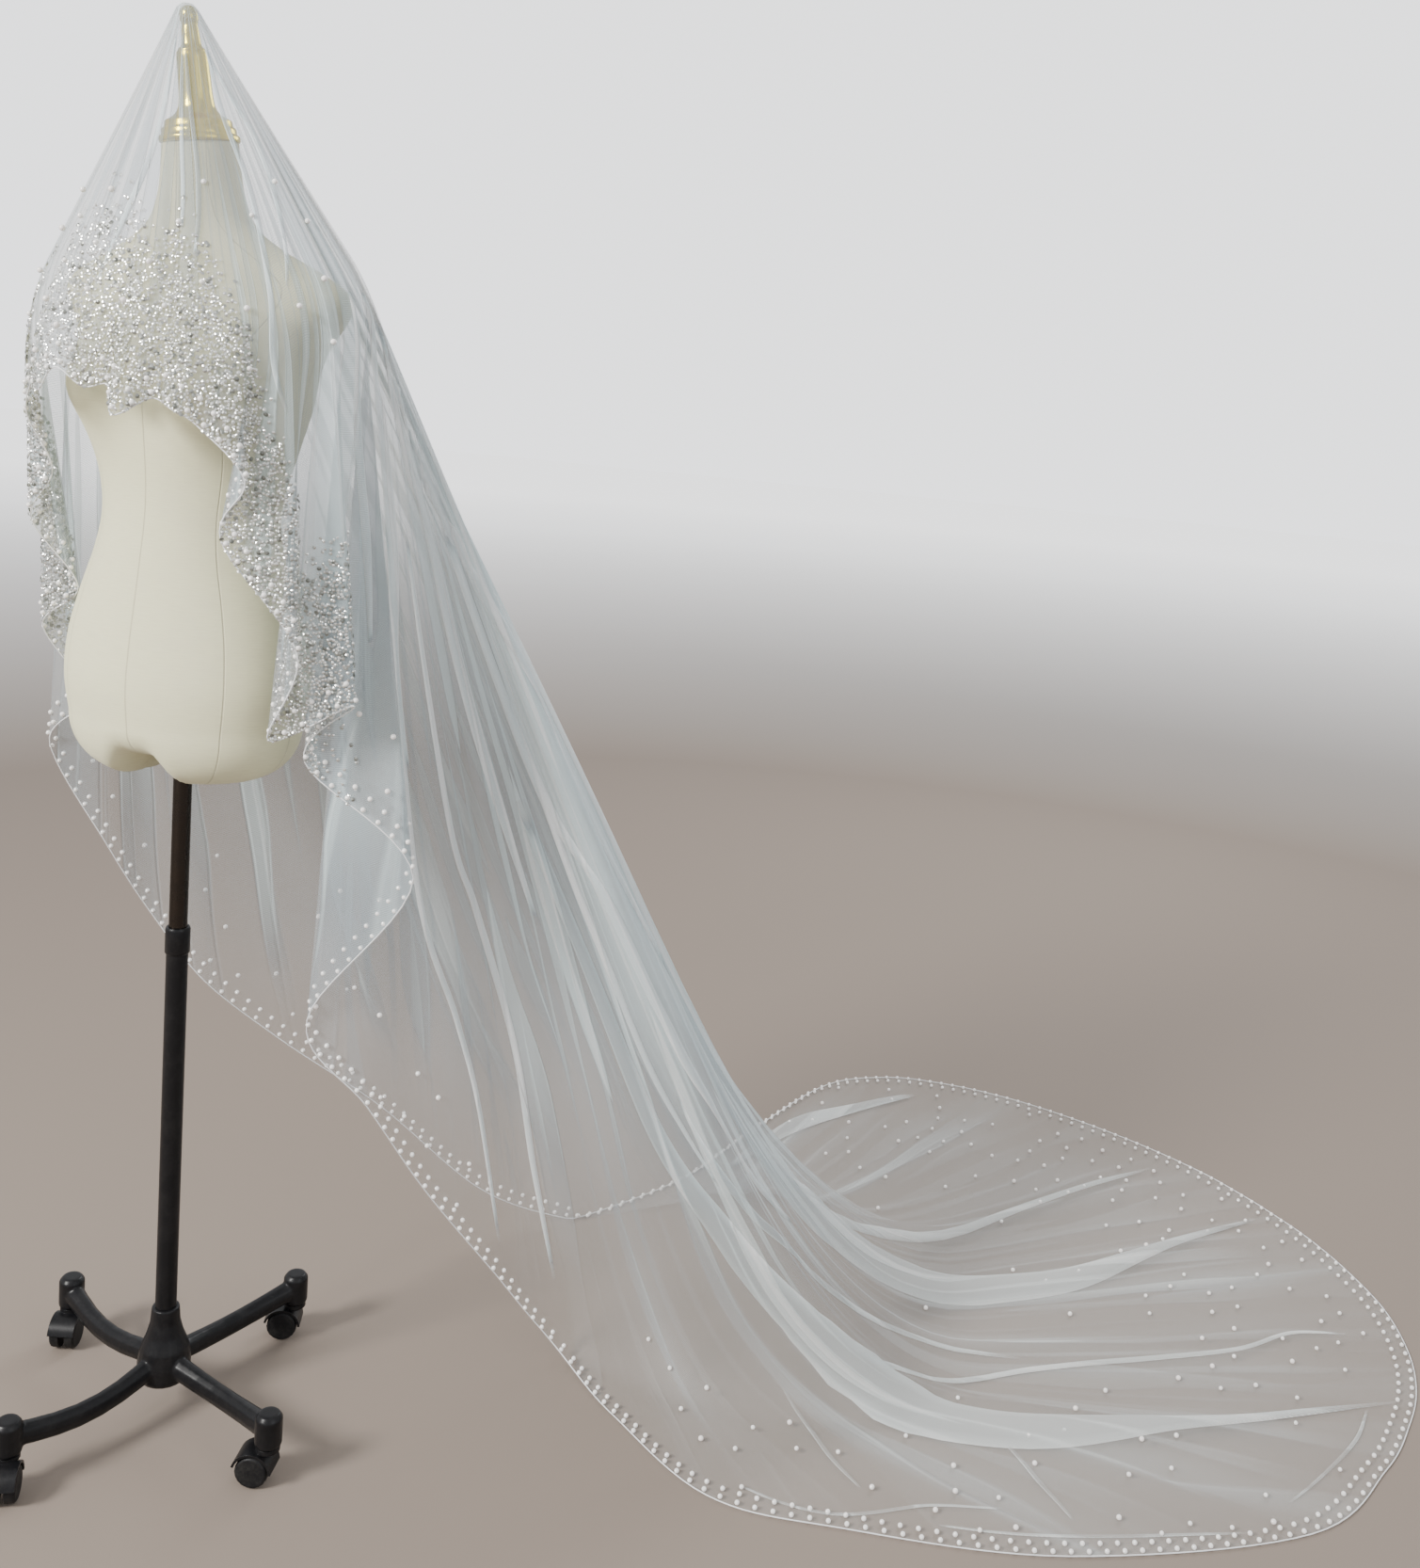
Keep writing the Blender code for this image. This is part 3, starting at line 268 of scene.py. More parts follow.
def ribLine(numbers):
    # fine points of a rib, their distances from the crown, and the four marks on it
    top, ring, foot, end, bendIn, bendOut, lift, touch = ribKnots(numbers)
    steps = veil["bendSteps"]

    def arc(start, corner, stop):
        return [start * (1 - s) ** 2 + corner * 2 * s * (1 - s) + stop * s ** 2
                for s in (step / steps for step in range(1, steps + 1))]

    points = [top, bendIn] + arc(bendIn, ring, bendOut)
    overRing = len(points) - 1
    points += [lift] + arc(lift, foot, touch)
    atTouch = len(points) - 1
    points = np.array([tuple(p) for p in points + [end]])
    along = runAlong(points)
    return points, along, (along[1], along[overRing], along[atTouch], along[-1])


def foldWaves(place, distance):
    # fine folds that run down the cloth, fade in and out, and never repeat exactly
    turn = 2 * math.pi * place * veil["foldsPerRib"]
    wander = (0.35 * np.sin(distance * 1.9 + 0.8 * place)
              + 0.2 * np.sin(distance * 4.3 - 1.3 * place))
    first = 0.5 + 0.5 * np.sin(turn + wander * 3)
    second = 0.5 + 0.5 * np.sin(turn * 0.437 + 2.1 - wander * 4)
    third = 0.5 + 0.5 * np.sin(turn * 0.171 + 0.6 + distance * 0.7)
    return 0.55 * first ** 2 * (0.35 + 0.65 * third) + 0.45 * second ** 3


def facingOf(grid):
    # outward normals of a closed ring of columns
    across = np.roll(grid, -1, axis=0) - np.roll(grid, 1, axis=0)
    facing = np.cross(np.gradient(grid, axis=1), across)
    return facing / np.maximum(np.linalg.norm(facing, axis=2, keepdims=True), 1e-9)


def plainCloth(numbers):
    # the cloth before its folds: points, distances from the crown, and marks, by column
    plain, reach, marks = [], [], []
    for row in numbers:
        points, along, mark = ribLine(row)
        reach.append(np.concatenate([
            np.linspace(0.0, mark[0], veil["topRows"], endpoint=False),
            np.linspace(mark[0], mark[1], veil["ringRows"], endpoint=False),
            np.linspace(mark[1], mark[3], veil["lowerRows"] + 1)]))
        plain.append(valuesAt(reach[-1], along, points))
        marks.append(mark)
    return np.array(plain), np.array(reach), np.array(marks)


def clothGrid():
    # points, outward normals, distances, lengths, layer counts and turns of the whole cloth
    perRib = veil["columnsPerRib"]
    numbers = np.array([ribAt(column / perRib) for column in range(len(ribs) * perRib)])
    plain, reach, marks = plainCloth(numbers)
    place = (np.arange(len(plain)) / perRib)[:, None]
    bendStart, _, touch, total = (marks[:, [k]] for k in range(4))
    crest, lay, layers, fine = (np.maximum(0.0, numbers[:, [k]]) for k in (8, 9, 10, 11))
    trailing = smoothStep(veil["shortFall"], veil["longFall"], total)
    free = smoothStep(bendStart, bendStart + veil["freeReach"], reach)
    grow = veil["ringShare"] * np.minimum(1.0, reach / bendStart) ** 1.5
    grow = grow + (1 - veil["ringShare"]) * smoothStep(bendStart, veil["fullDepth"], reach)
    grow = grow * (1 - (1 - veil["cascadeShare"]) * (1 - trailing) * free)
    settleEnd = np.maximum(veil["fullDepth"] + veil["settleReach"], touch)
    settle = smoothStep(veil["fullDepth"], settleEnd, reach) * trailing
    hem = smoothStep(total - veil["hemFade"], total - veil["hemClear"], reach)
    height = (crest * grow * (1 - settle) + lay * settle) * (1 - hem * trailing)
    waves = foldWaves(place, reach)
    size = veil["foldHeight"] * (1 - settle) + veil["floorFold"] * settle
    size = size * fine * smoothStep(veil["foldFrom"], veil["foldFull"], reach)
    size = size * (1 - veil["hemCalm"] * hem)
    size = size * (1 - veil["cascadeCalm"] * (1 - trailing) * free)
    height = height + size * waves
    grid = plain + facingOf(plain) * height[:, :, None]
    grid[:, :, 2] = np.maximum(grid[:, :, 2], veil["half"])

    raised = waves * fine * (0.4 + 0.6 * settle)
    raised = raised + veil["crestGain"] * height / veil["crestSize"]
    inBack = smoothStep(*veil["backFrom"], place) * fadeOut(*veil["backUntil"], place)
    drawnIn = (np.interp(reach, veil["gatherAt"], veil["gather"]) * inBack
               + np.interp(reach, veil["gatherAt"], veil["sideGather"]) * (1 - inBack))
    thick = layers * drawnIn * (1 - settle) + (1 + veil["floorShare"] * (layers - 1)) * settle
    thick = thick + veil["crestLayers"] * np.clip(raised, 0, veil["mostRaised"]) ** 2
    thick = thick * (1 - hem * veil["hemThin"])
    thick = thick + veil["crownLayers"] * np.exp(-reach / veil["crownReach"])
    return grid, facingOf(grid), reach, total, thick, np.radians(numbers[:, 0])


def cutRim():
    # where each rib's hem lies on the flat oval, by how far along the hem it comes
    wide, long = veil["cutWidth"] / 2, veil["cutLength"] / 2
    turns = np.linspace(0, 2 * math.pi, veil["rimSteps"])
    rim = np.stack([wide * np.sin(turns), long - veil["cutAhead"] - long * np.cos(turns)], axis=1)
    rimRun = runAlong(rim)
    hemRun = runAlong(closedRing(cloth[:, -1]))
    start = ribIndex["frontMiddle"] * veil["columnsPerRib"]
    share = ((hemRun[:-1] - hemRun[start]) / hemRun[-1]) % 1.0
    return valuesAt(share * rimRun[-1], rimRun, rim)


cloth, clothNormals, clothReach, clothTotals, clothLayers, clothTurns = clothGrid()
clothRim = cutRim()
print("cloth grid", cloth.shape)


# folds that lie doubled on the cloth: lift, layers, then place among the ribs, distance from
# the crown and width along each
foldLines = (
    ("wideBand", 0.006, 4.0, (
        (30.2, 1.3, 0.016), (30.7, 1.55, 0.034), (31.0, 1.734, 0.055), (31.7, 1.845, 0.074),
        (31.9, 1.975, 0.076), (31.7, 2.069, 0.066), (31.5, 2.164, 0.058), (31.5, 2.294, 0.048),
        (32.0, 2.441, 0.03), (32.6, 2.603, 0.014), (32.9, 2.735, 0.006))),
    ("nearBand", 0.006, 4.0, (
        (23.0, 0.98, 0.012), (23.6, 1.2, 0.016), (24.0, 1.471, 0.024), (24.8, 1.652, 0.042),
        (25.3, 1.794, 0.06), (25.4, 1.932, 0.076), (25.2, 2.014, 0.076), (25.3, 2.099, 0.07),
        (25.6, 2.189, 0.06), (26.0, 2.284, 0.04), (26.4, 2.379, 0.024), (26.9, 2.486, 0.013),
        (27.3, 2.59, 0.008), (27.6, 2.68, 0.004))),
    ("ridgeBand", 0.0045, 4.6, (
        (30.0, 1.4, 0.01), (31.0, 1.659, 0.016), (33.1, 1.854, 0.021), (34.2, 1.976, 0.021),
        (34.6, 2.101, 0.019), (34.8, 2.19, 0.018), (35.1, 2.333, 0.016), (35.3, 2.514, 0.012),
        (35.4, 2.677, 0.005))),
    ("endCrease", 0.0024, 5.0, (
        (25.7, 1.855, 0.005), (26.3, 1.939, 0.009), (27.8, 2.103, 0.01), (28.3, 2.21, 0.009),
        (28.6, 2.348, 0.009), (28.9, 2.486, 0.008), (29.4, 2.592, 0.007), (29.4, 2.685, 0.004))),
    ("middleCrease", 0.0024, 4.0, (
        (25.2, 1.42, 0.006), (25.7, 1.558, 0.01), (26.2, 1.665, 0.011), (27.7, 1.83, 0.011),
        (28.6, 1.964, 0.009), (28.7, 2.058, 0.008), (28.5, 2.143, 0.004))),
    ("farDouble", 0.0045, 3.4, (
        (41.6, 2.1, 0.014), (41.0, 2.25, 0.034), (40.5, 2.351, 0.04), (39.6, 2.477, 0.028),
        (39.1, 2.567, 0.01))),
    ("sideCrease", 0.0014, 1.6, (
        (22.4, 2.04, 0.003), (23.0, 2.109, 0.005), (23.7, 2.139, 0.005), (24.1, 2.193, 0.003))),
    ("hemCrease", 0.0014, 1.6, (
        (23.6, 2.172, 0.003), (24.1, 2.263, 0.005), (24.5, 2.356, 0.005), (24.8, 2.44, 0.003))),
    ("tipCrease", 0.0014, 1.4, (
        (27.3, 2.625, 0.003), (26.6, 2.59, 0.005), (26.0, 2.545, 0.005), (25.3, 2.48, 0.003))),
    ("slantCrease", 0.0014, 1.2, (
        (25.1, 2.12, 0.003), (24.6, 2.191, 0.006), (24.3, 2.264, 0.003))),
    ("cornerCrease", 0.0014, 1.2, (
        (23.9, 1.88, 0.003), (23.5, 2.0, 0.006), (23.4, 2.08, 0.003))),
    ("nearLine", 0.0026, 8.0, (
        (18.0, 0.6, 0.004), (18.2, 1.049, 0.007), (18.8, 1.252, 0.007), (19.1, 1.39, 0.006),
        (19.2, 1.598, 0.004))),
    ("tailLine", 0.0028, 9.0, (
        (19.0, 0.62, 0.005), (19.3, 0.99, 0.009), (19.9, 1.118, 0.009), (20.4, 1.307, 0.009),
        (20.3, 1.498, 0.008), (20.3, 1.686, 0.004))),
    ("fallLine", 0.0028, 8.5, (
        (24.0, 0.85, 0.005), (24.2, 1.103, 0.009), (24.4, 1.238, 0.009), (24.6, 1.392, 0.008),
        (25.3, 1.567, 0.004))),
    ("slopeBand", 0.0032, 8.0, (
        (23.6, 0.62, 0.009), (24.2, 0.983, 0.013), (25.5, 1.12, 0.014), (25.9, 1.298, 0.013),
        (26.2, 1.421, 0.013), (27.2, 1.584, 0.012), (28.6, 1.712, 0.006))),
    ("shoulderLine", 0.0024, 6.0, (
        (14.6, 0.345, 0.004), (14.5, 0.481, 0.008), (14.6, 0.618, 0.009), (14.6, 0.744, 0.004))),
    ("sideBand", 0.003, 8.0, (
        (16.4, 0.345, 0.005), (17.9, 0.487, 0.013), (18.2, 0.63, 0.014), (18.0, 0.765, 0.011),
        (18.2, 0.92, 0.005))),
    ("backBand", 0.0032, 8.0, (
        (18.4, 0.38, 0.005), (20.6, 0.5, 0.012), (21.5, 0.62, 0.015), (21.5, 0.78, 0.015),
        (21.8, 0.96, 0.013), (22.2, 1.16, 0.006))),
    ("ridgeBack", 0.0032, 8.0, (
        (17.7, 0.37, 0.005), (21.1, 0.463, 0.01), (23.6, 0.598, 0.014), (25.4, 0.731, 0.015),
        (26.8, 0.9, 0.013), (28.0, 1.1, 0.011), (29.0, 1.3, 0.005))),
    ("crownLeft", 0.0016, 3.4, (
        (11.6, 0.03, 0.002), (10.7, 0.113, 0.005), (11.0, 0.21, 0.006), (10.5, 0.343, 0.006),
        (10.4, 0.406, 0.006), (10.8, 0.47, 0.003))),
    ("crownSide", 0.0016, 3.4, (
        (11.0, 0.049, 0.003), (12.9, 0.143, 0.006), (12.5, 0.239, 0.006), (11.2, 0.34, 0.003))),
    ("crownNeck", 0.0016, 3.0, (
        (7.0, 0.05, 0.002), (7.3, 0.098, 0.004), (7.7, 0.18, 0.005), (7.6, 0.246, 0.005),
        (7.3, 0.295, 0.003))),
    ("crownMiddle", 0.0016, 3.2, (
        (6.3, 0.03, 0.002), (6.3, 0.098, 0.004), (6.7, 0.213, 0.005), (6.6, 0.263, 0.003))),
    ("crownRight", 0.0016, 3.6, (
        (4.4, 0.033, 0.002), (4.4, 0.115, 0.006), (3.4, 0.229, 0.007), (2.8, 0.33, 0.003))),
)
strip = dict(stations=90, cross=(-1.0, -0.90, -0.55, 0.0, 0.55, 0.90, 1.0),
             rise=(0.0, 0.45, 0.85, 1.0, 0.85, 0.45, 0.0), clearance=0.0005, edgeLayersAndHighlight=4.0,
             endLayers=0.4, endRise=0.2, startFade=0.08, stopFade=0.90, probe=0.1)


def clothAt(place, reach):
    # point, outward normal and flat cut of the cloth at a place among the ribs
    column = (place * veil["columnsPerRib"]) % cloth.shape[0]
    low = int(column)
    share = column - low
    found = []
    for index, weight in ((low, 1 - share), ((low + 1) % cloth.shape[0], share)):
        run = clothReach[index]
        flat = clothRim[index] * min(1.0, reach / clothTotals[index, 0])
        found.append(weight * np.concatenate([
            valuesAt(reach, run, cloth[index]), valuesAt(reach, run, clothNormals[index]), flat]))
    both = found[0] + found[1]
    return both[:3], both[3:6] / max(1e-9, np.linalg.norm(both[3:6])), both[6:]


def foldPath(knots):
    # even steps along a fold, each with its place, distance and width
    run = runAlong(np.array([clothAt(place, reach)[0] for place, reach, _ in knots]))
    path = []
    for step in np.linspace(0, run[-1], strip["stations"]):
        k = min(len(run) - 2, int(np.searchsorted(run, step, side="right")) - 1)
        rows = [knots[min(len(knots) - 1, max(0, k + j))] for j in (-1, 0, 1, 2)]
        path.append(between(*rows, (step - run[k]) / (run[k + 1] - run[k])))
    return np.array(path)


def foldPiece():
    # each doubled fold as a low arched strip on the cloth, thickest along its two edges; the extra
    # layers there also come out as a painted highlight in the tulle's colour
    points, layers, cuts, folds, faces = [], [], [], [], []
    wide = len(strip["cross"])
    for name, lift, sheets, knots in foldLines:
        path = foldPath(np.array(knots))
        headings = np.gradient(path[:, :2], axis=0)
        start = len(points)
        for index, (place, reach, width) in enumerate(path):
            along = index / (len(path) - 1)
            ends = float(smoothStep(0, strip["startFade"], along)
                         * fadeOut(strip["stopFade"], 1, along))
            beside = clothAt(place + strip["probe"], reach)[0] - clothAt(place, reach)[0]
            perPlace = max(float(np.linalg.norm(beside)) / strip["probe"], 1e-4)
            ahead = headings[index] * (perPlace, 1.0)
            ahead = ahead / max(1e-9, np.linalg.norm(ahead))
            raised = lift * (strip["endRise"] + (1 - strip["endRise"]) * ends)
            for cross, rise in zip(strip["cross"], strip["rise"]):
                aside = cross * width / 2
                spot = (place + ahead[1] * aside / perPlace, reach - ahead[0] * aside)
                point, normal, flat = clothAt(*spot)
                points.append(point + normal * (strip["clearance"] + raised * rise))
                # extra layers along the strip's edges: denser net, and through the tulle's colour a
                # painted highlight line
                edge = strip["edgeLayersAndHighlight"] * abs(cross) ** 8
                layers.append(strip["endLayers"] + (sheets + edge) * ends)
                cuts.append(flat)
                folds.append(spot)
        for row in range(strip["stations"] - 1):
            for corner in range(start + row * wide, start + row * wide + wide - 1):
                faces.append((corner, corner + wide, corner + wide + 1, corner + 1))
    piece = meshPiece("doubledFolds", points, faces)
    corners = cornerPoints(piece)
    storeFloats(piece, "layers", layers)
    storeMap(piece, "cut", np.array(cuts)[corners])
    storeMap(piece, "folds", np.array(folds)[corners])
    return toPole(piece)


def veilPiece():
    # the veil as one sheet, closed over the crown; its UV maps are the flat cut and the folds
    columns, rows, _ = cloth.shape
    crown = Vector(veil["crown"])
    atCrown = veil["crownLayers"] + veil["domeLayers"]
    points, layers, cut, folds = [crown], [atCrown], [(0.0, 0.0)], [(0.0, 0.0)]
    faces, wraps = [], []
    for column in range(columns):
        place, turn = column / veil["columnsPerRib"], clothTurns[column]
        around = Vector((math.sin(turn), -math.cos(turn), 0)) * veil["domeRadius"]
        shares = clothReach[column] / clothTotals[column, 0]
        points += [crown + around - Vector((0, 0, veil["domeDrop"])), *cloth[column]]
        layers += [atCrown, *clothLayers[column]]
        cut += [(0.0, 0.0), *(tuple(clothRim[column] * share) for share in shares)]
        folds += [(place, -0.01), *((place, reach) for reach in clothReach[column])]
        here, there = (1 + (k % columns) * (rows + 1) for k in (column, column + 1))
        faces.append((0, here, there))
        faces += [(here + row, here + row + 1, there + row + 1, there + row)
                  for row in range(rows)]
        wraps += [column == columns - 1] * (rows + 1)
    piece = meshPiece("veilTulle", points, faces)
    corners = cornerPoints(piece)
    folds = np.array(folds)[corners]
    wrapped = np.repeat(wraps, [polygon.loop_total for polygon in piece.data.polygons])
    folds[wrapped & (folds[:, 0] < len(ribs) / 2), 0] += len(ribs)
    storeFloats(piece, "layers", layers)
    storeMap(piece, "cut", np.array(cut)[corners])
    storeMap(piece, "folds", folds)
    return toPole(piece)


# nodes: helpers for geometry and shader trees alike

def connect(tree, sockets, values):
    # each socket gets a link from another node, or a plain value
    for key, value in values.items():
        if hasattr(value, "links"):
            tree.links.new(value, sockets[key])
        elif value is not None:
            sockets[key].default_value = value


def addNode(tree, kind, inputs, **settings):
    node = setAll(tree.nodes.new(kind), **settings)
    connect(tree, node.inputs, inputs)
    return node.outputs


def newGroup(kind, name, inputs, outputs):
    # a node group, with the sockets it starts from and the sockets it fills
    tree = bpy.data.node_groups.new(name, kind)
    for label, socketKind, value in inputs:
        socket = tree.interface.new_socket(label, in_out="INPUT",
                                           socket_type="NodeSocket" + socketKind)
        if value is not None:
            socket.default_value = value
    for label, socketKind in outputs:
        tree.interface.new_socket(label, in_out="OUTPUT", socket_type="NodeSocket" + socketKind)
    return (tree, tree.nodes.new("NodeGroupInput").outputs,
            tree.nodes.new("NodeGroupOutput").inputs)


# pearls, sequins and the rolled hem

trim = dict(
    pearlRadius=0.0032, pearlRise=0.55, hemInset=0.007, rowGap=0.020, pearlSpacing=0.0225,
    ballDetail=2, scatterRadius=0.0033, scatterDistance=0.045, scatterDensity=6000.0,
    scatterSizes=(0.85, 1.1), sequinRadius=0.0022, sequinDistance=0.0030,
    sequinDensity=240000.0, sequinSizes=(0.65, 1.25), sequinDepth=0.0009, sequinSides=7,
    tilt=(0.45, 0.45, 3.1), frontBand=0.120, frontFade=0.13,
    cascadeBand=0.150, cascadeFade=0.07, patchWaves=(310, 270), patchShare=0.3,
    edgeRadius=0.0008, floorGap=0.0002, scatterSeed=5, sequinSeed=11,
    trainHeight=(0.03, 0.12), trainFade=(0.10, 0.70), trainLeast=0.10, trainMore=0.50,
    headFrom=(0.16, 0.24), headUntil=(0.36, 0.46), headShare=0.8,
    sideFade=(0.10, 0.30), sideShare=0.5, clearOfHem=(0.035, 0.05))


def hemPath(inset, rise, lowest):
    # points of the cloth a little way in from the hem, all round
    path = np.array([
        valuesAt(total - inset, run, points) + valuesAt(total - inset, run, facing) * rise
        for points, facing, run, total in zip(cloth, clothNormals, clothReach, clothTotals[:, 0])])
    path[:, 2] = np.maximum(path[:, 2], lowest)
    return path


def evenPlaces(path, spacing, shift):
    # places along a closed path, counted in its points, at even steps
    run = runAlong(closedRing(path))
    count = round(run[-1] / spacing)
    return np.interp((np.arange(count) + shift) * run[-1] / count, run, np.arange(len(run)))


def rowPoints(name, path, places):
    # bare points at the places along a closed path
    ring = closedRing(path)
    return toPole(meshPiece(name, valuesAt(places, np.arange(len(ring)), ring), []))


def pathCurve(name, path):
    curve = bpy.data.curves.new(name, "CURVE")
    curve.dimensions = "3D"
    spline = curve.splines.new("POLY")
    spline.points.add(len(path) - 1)
    for point, place in zip(spline.points, path + np.array(polePlace)):
        point.co = (*place, 1.0)
    spline.use_cyclic_u = True
    return linkObject(bpy.data.objects.new(name, curve))


def frozen(piece, name):
    # plain mesh of what a piece's modifiers make, in place of the piece
    bpy.context.view_layer.update()
    graph = bpy.context.evaluated_depsgraph_get()
    mesh = bpy.data.meshes.new_from_object(piece.evaluated_get(graph))
    mesh.name = name
    result = linkObject(bpy.data.objects.new(name, mesh))
    bpy.data.objects.remove(piece)
    return result


def shapeGroup(name, inputs):
    return newGroup("GeometryNodeTree", name, [("Geometry", "Geometry", None), *inputs],
                    [("Geometry", "Geometry")])


def finishShape(tree, start, stop, shape, smooth):
    # real geometry in place of the instances, with its material
    shape = addNode(tree, "GeometryNodeRealizeInstances", {"Geometry": shape})["Geometry"]
    if smooth:
        shape = addNode(tree, "GeometryNodeSetShadeSmooth", {"Geometry": shape})["Geometry"]
    shape = addNode(tree, "GeometryNodeSetMaterial",
                    {"Geometry": shape, "Material": start["Finish"]})["Geometry"]
    connect(tree, stop, {"Geometry": shape})


def ballShape(tree, radius):
    return addNode(tree, "GeometryNodeMeshIcoSphere",
                   {"Radius": radius, "Subdivisions": trim["ballDetail"]})["Mesh"]


def pearlTree():
    # a pearl on each point
    tree, start, stop = shapeGroup("pearlRow", [
        ("Radius", "Float", 0.0038), ("Finish", "Material", None)])
    pearls = addNode(tree, "GeometryNodeInstanceOnPoints", {
        "Points": start["Geometry"], "Instance": ballShape(tree, start["Radius"])})
    finishShape(tree, start, stop, pearls["Instances"], True)
    return tree


def scatterTree(name, sequins):
    # beads or sequins spread over a surface by its own density, never crowded
    tree, start, stop = shapeGroup(name, [
        ("Distance", "Float", 0.05), ("Radius", "Float", 0.0035), ("Seed", "Int", 1),
        ("Finish", "Material", None)])
    density = addNode(tree, "GeometryNodeInputNamedAttribute", {"Name": "density"},
                      data_type="FLOAT")
    spread = addNode(tree, "GeometryNodeDistributePointsOnFaces", {
        "Mesh": start["Geometry"], "Distance Min": start["Distance"], "Seed": start["Seed"],
        "Density Max": trim["sequinDensity" if sequins else "scatterDensity"],
        "Density Factor": density["Attribute"]}, distribute_method="POISSON")
    if sequins:
        bead = addNode(tree, "GeometryNodeMeshCone", {
            "Vertices": trim["sequinSides"], "Radius Top": 0.0, "Depth": trim["sequinDepth"],
            "Radius Bottom": start["Radius"]}, fill_type="NONE")["Mesh"]
    else:
        bead = ballShape(tree, start["Radius"])
    lift = addNode(tree, "ShaderNodeVectorMath", {0: spread["Normal"], "Scale": start["Radius"]},
                   operation="SCALE")
    raised = addNode(tree, "GeometryNodeSetPosition", {
        "Geometry": spread["Points"], "Offset": lift["Vector"]})
    tilt = addNode(tree, "FunctionNodeRandomValue", {
        "Min": [-v for v in trim["tilt"]], "Max": trim["tilt"]}, data_type="FLOAT_VECTOR")
    turn = addNode(tree, "FunctionNodeRotateRotation", {
        "Rotation": spread["Rotation"], "Rotate By": tilt["Value"]}, rotation_space="LOCAL")
    least, most = trim["sequinSizes" if sequins else "scatterSizes"]
    size = addNode(tree, "FunctionNodeRandomValue", {2: least, 3: most}, data_type="FLOAT")
    beads = addNode(tree, "GeometryNodeInstanceOnPoints", {
        "Points": raised["Geometry"], "Instance": bead, "Rotation": turn["Rotation"],
        "Scale": size[1]})
    # a random value for each bead: its tone on pearls, a painted dark reflection on sequins
    shade = addNode(tree, "FunctionNodeRandomValue", {}, data_type="FLOAT")
    tinted = addNode(tree, "GeometryNodeStoreNamedAttribute", {
        "Geometry": beads["Instances"], "Name": "tintAndPaintedReflection", "Value": shade[1]},
        data_type="FLOAT", domain="INSTANCE")
    finishShape(tree, start, stop, tinted["Geometry"], not sequins)
    return tree


def withTree(piece, tree, values, name):
    modifier = piece.modifiers.new(tree.name, "NODES")
    modifier.node_group = tree
    for item in tree.interface.items_tree:
        if item.item_type == "SOCKET" and item.in_out == "INPUT" and item.name in values:
            modifier[item.identifier] = values[item.name]
    return frozen(piece, name)


def patchOfCloth(name, densities):
    # the part of the cloth where a density is above nothing, to spread beads on
    columns, rows, _ = cloth.shape
    wanted = densities > 0.001
    faces = []
    for column in range(columns):
        beside = (column + 1) % columns
        for row in range(rows - 1):
            corners = ((column, row), (column, row + 1), (beside, row + 1), (beside, row))
            if any(wanted[corner] for corner in corners):
                faces.append([c * rows + r for c, r in corners])
    used = sorted({corner for face in faces for corner in face})
    order = {corner: index for index, corner in enumerate(used)}
    piece = meshPiece(name, cloth.reshape(-1, 3)[used],
                      [[order[c] for c in face] for face in faces])
    storeFloats(piece, "density", densities.reshape(-1)[used])
    return toPole(piece)


def spanOf(first, last):
    # weight over the columns from one rib to another, with soft ends
    place = np.arange(cloth.shape[0]) / veil["columnsPerRib"]
    low, high = ribIndex[first], ribIndex[last]
    if high < low:
        high += len(ribs)
        place = np.where(place < low - 1.5, place + len(ribs), place)
    return (smoothStep(low - 0.5, low, place) * fadeOut(high, high + 0.5, place))[:, None]


def sequinDensity():
    # a dense band along the front hem and the upper edges of both cascades
    fromHem = clothTotals - clothReach
    front = spanOf("frontRight", "leftHiddenFold")
    sides = spanOf("leftHiddenFold", "leftThirdInner") + spanOf("rightThirdInner", "rightFrontFold")
    nearFront = fadeOut(trim["frontBand"], trim["frontBand"] + trim["frontFade"], fromHem)
    nearSide = fadeOut(trim["cascadeBand"], trim["cascadeBand"] + trim["cascadeFade"], fromHem)
    dense = np.maximum(front * nearFront, np.clip(sides, 0, 1) * nearSide)
    across, up = trim["patchWaves"]
    patches = 0.5 + 0.5 * np.sin(cloth[:, :, 0] * across) * np.sin(cloth[:, :, 2] * up + 1.0)
    return dense ** 1.5 * (1 - trim["patchShare"] + trim["patchShare"] * patches)


def pearlDensity():
    # loose pearls: a few over the crown part, more over the train and towards its end
    fromHem = clothTotals - clothReach
    train = spanOf("nearCorner", "farCorner") * fadeOut(*trim["trainHeight"], cloth[:, :, 2])
    far = trim["trainLeast"] + trim["trainMore"] * fadeOut(*trim["trainFade"], fromHem)
    upper = np.clip(spanOf("frontRight", "frontLeft") + spanOf("leftHiddenFold", "leftThirdInner")
                    + spanOf("rightSecondInner", "rightFrontFold"), 0, 1)
    head = smoothStep(*trim["headFrom"], clothReach) * fadeOut(*trim["headUntil"], clothReach)
    sides = np.clip(spanOf("leftThirdInner", "leftSideLow")
                    + spanOf("rightSideMiddle", "rightThirdInner"), 0, 1)
    sides = sides * fadeOut(*trim["sideFade"], fromHem)
    dense = train * far + trim["headShare"] * upper * head + trim["sideShare"] * sides
    return np.clip(dense, 0, 1) * smoothStep(*trim["clearOfHem"], fromHem)


# dress form, cap and stand

form = dict(
    sides=96, steps=7, lobeRings=26, lobeDrop=0.071, lobeShare=0.55, cleftHalf=0.017,
    cleftEdge=0.030, bustX=0.084, bustWidth=0.042, bustZ=1.288, bustOut=0.044, bustSpread=0.052,
    neckLean=1.49, seamCount=8, seamWidth=0.0011, seatRadius=0.0155, keepAngle=60.0)

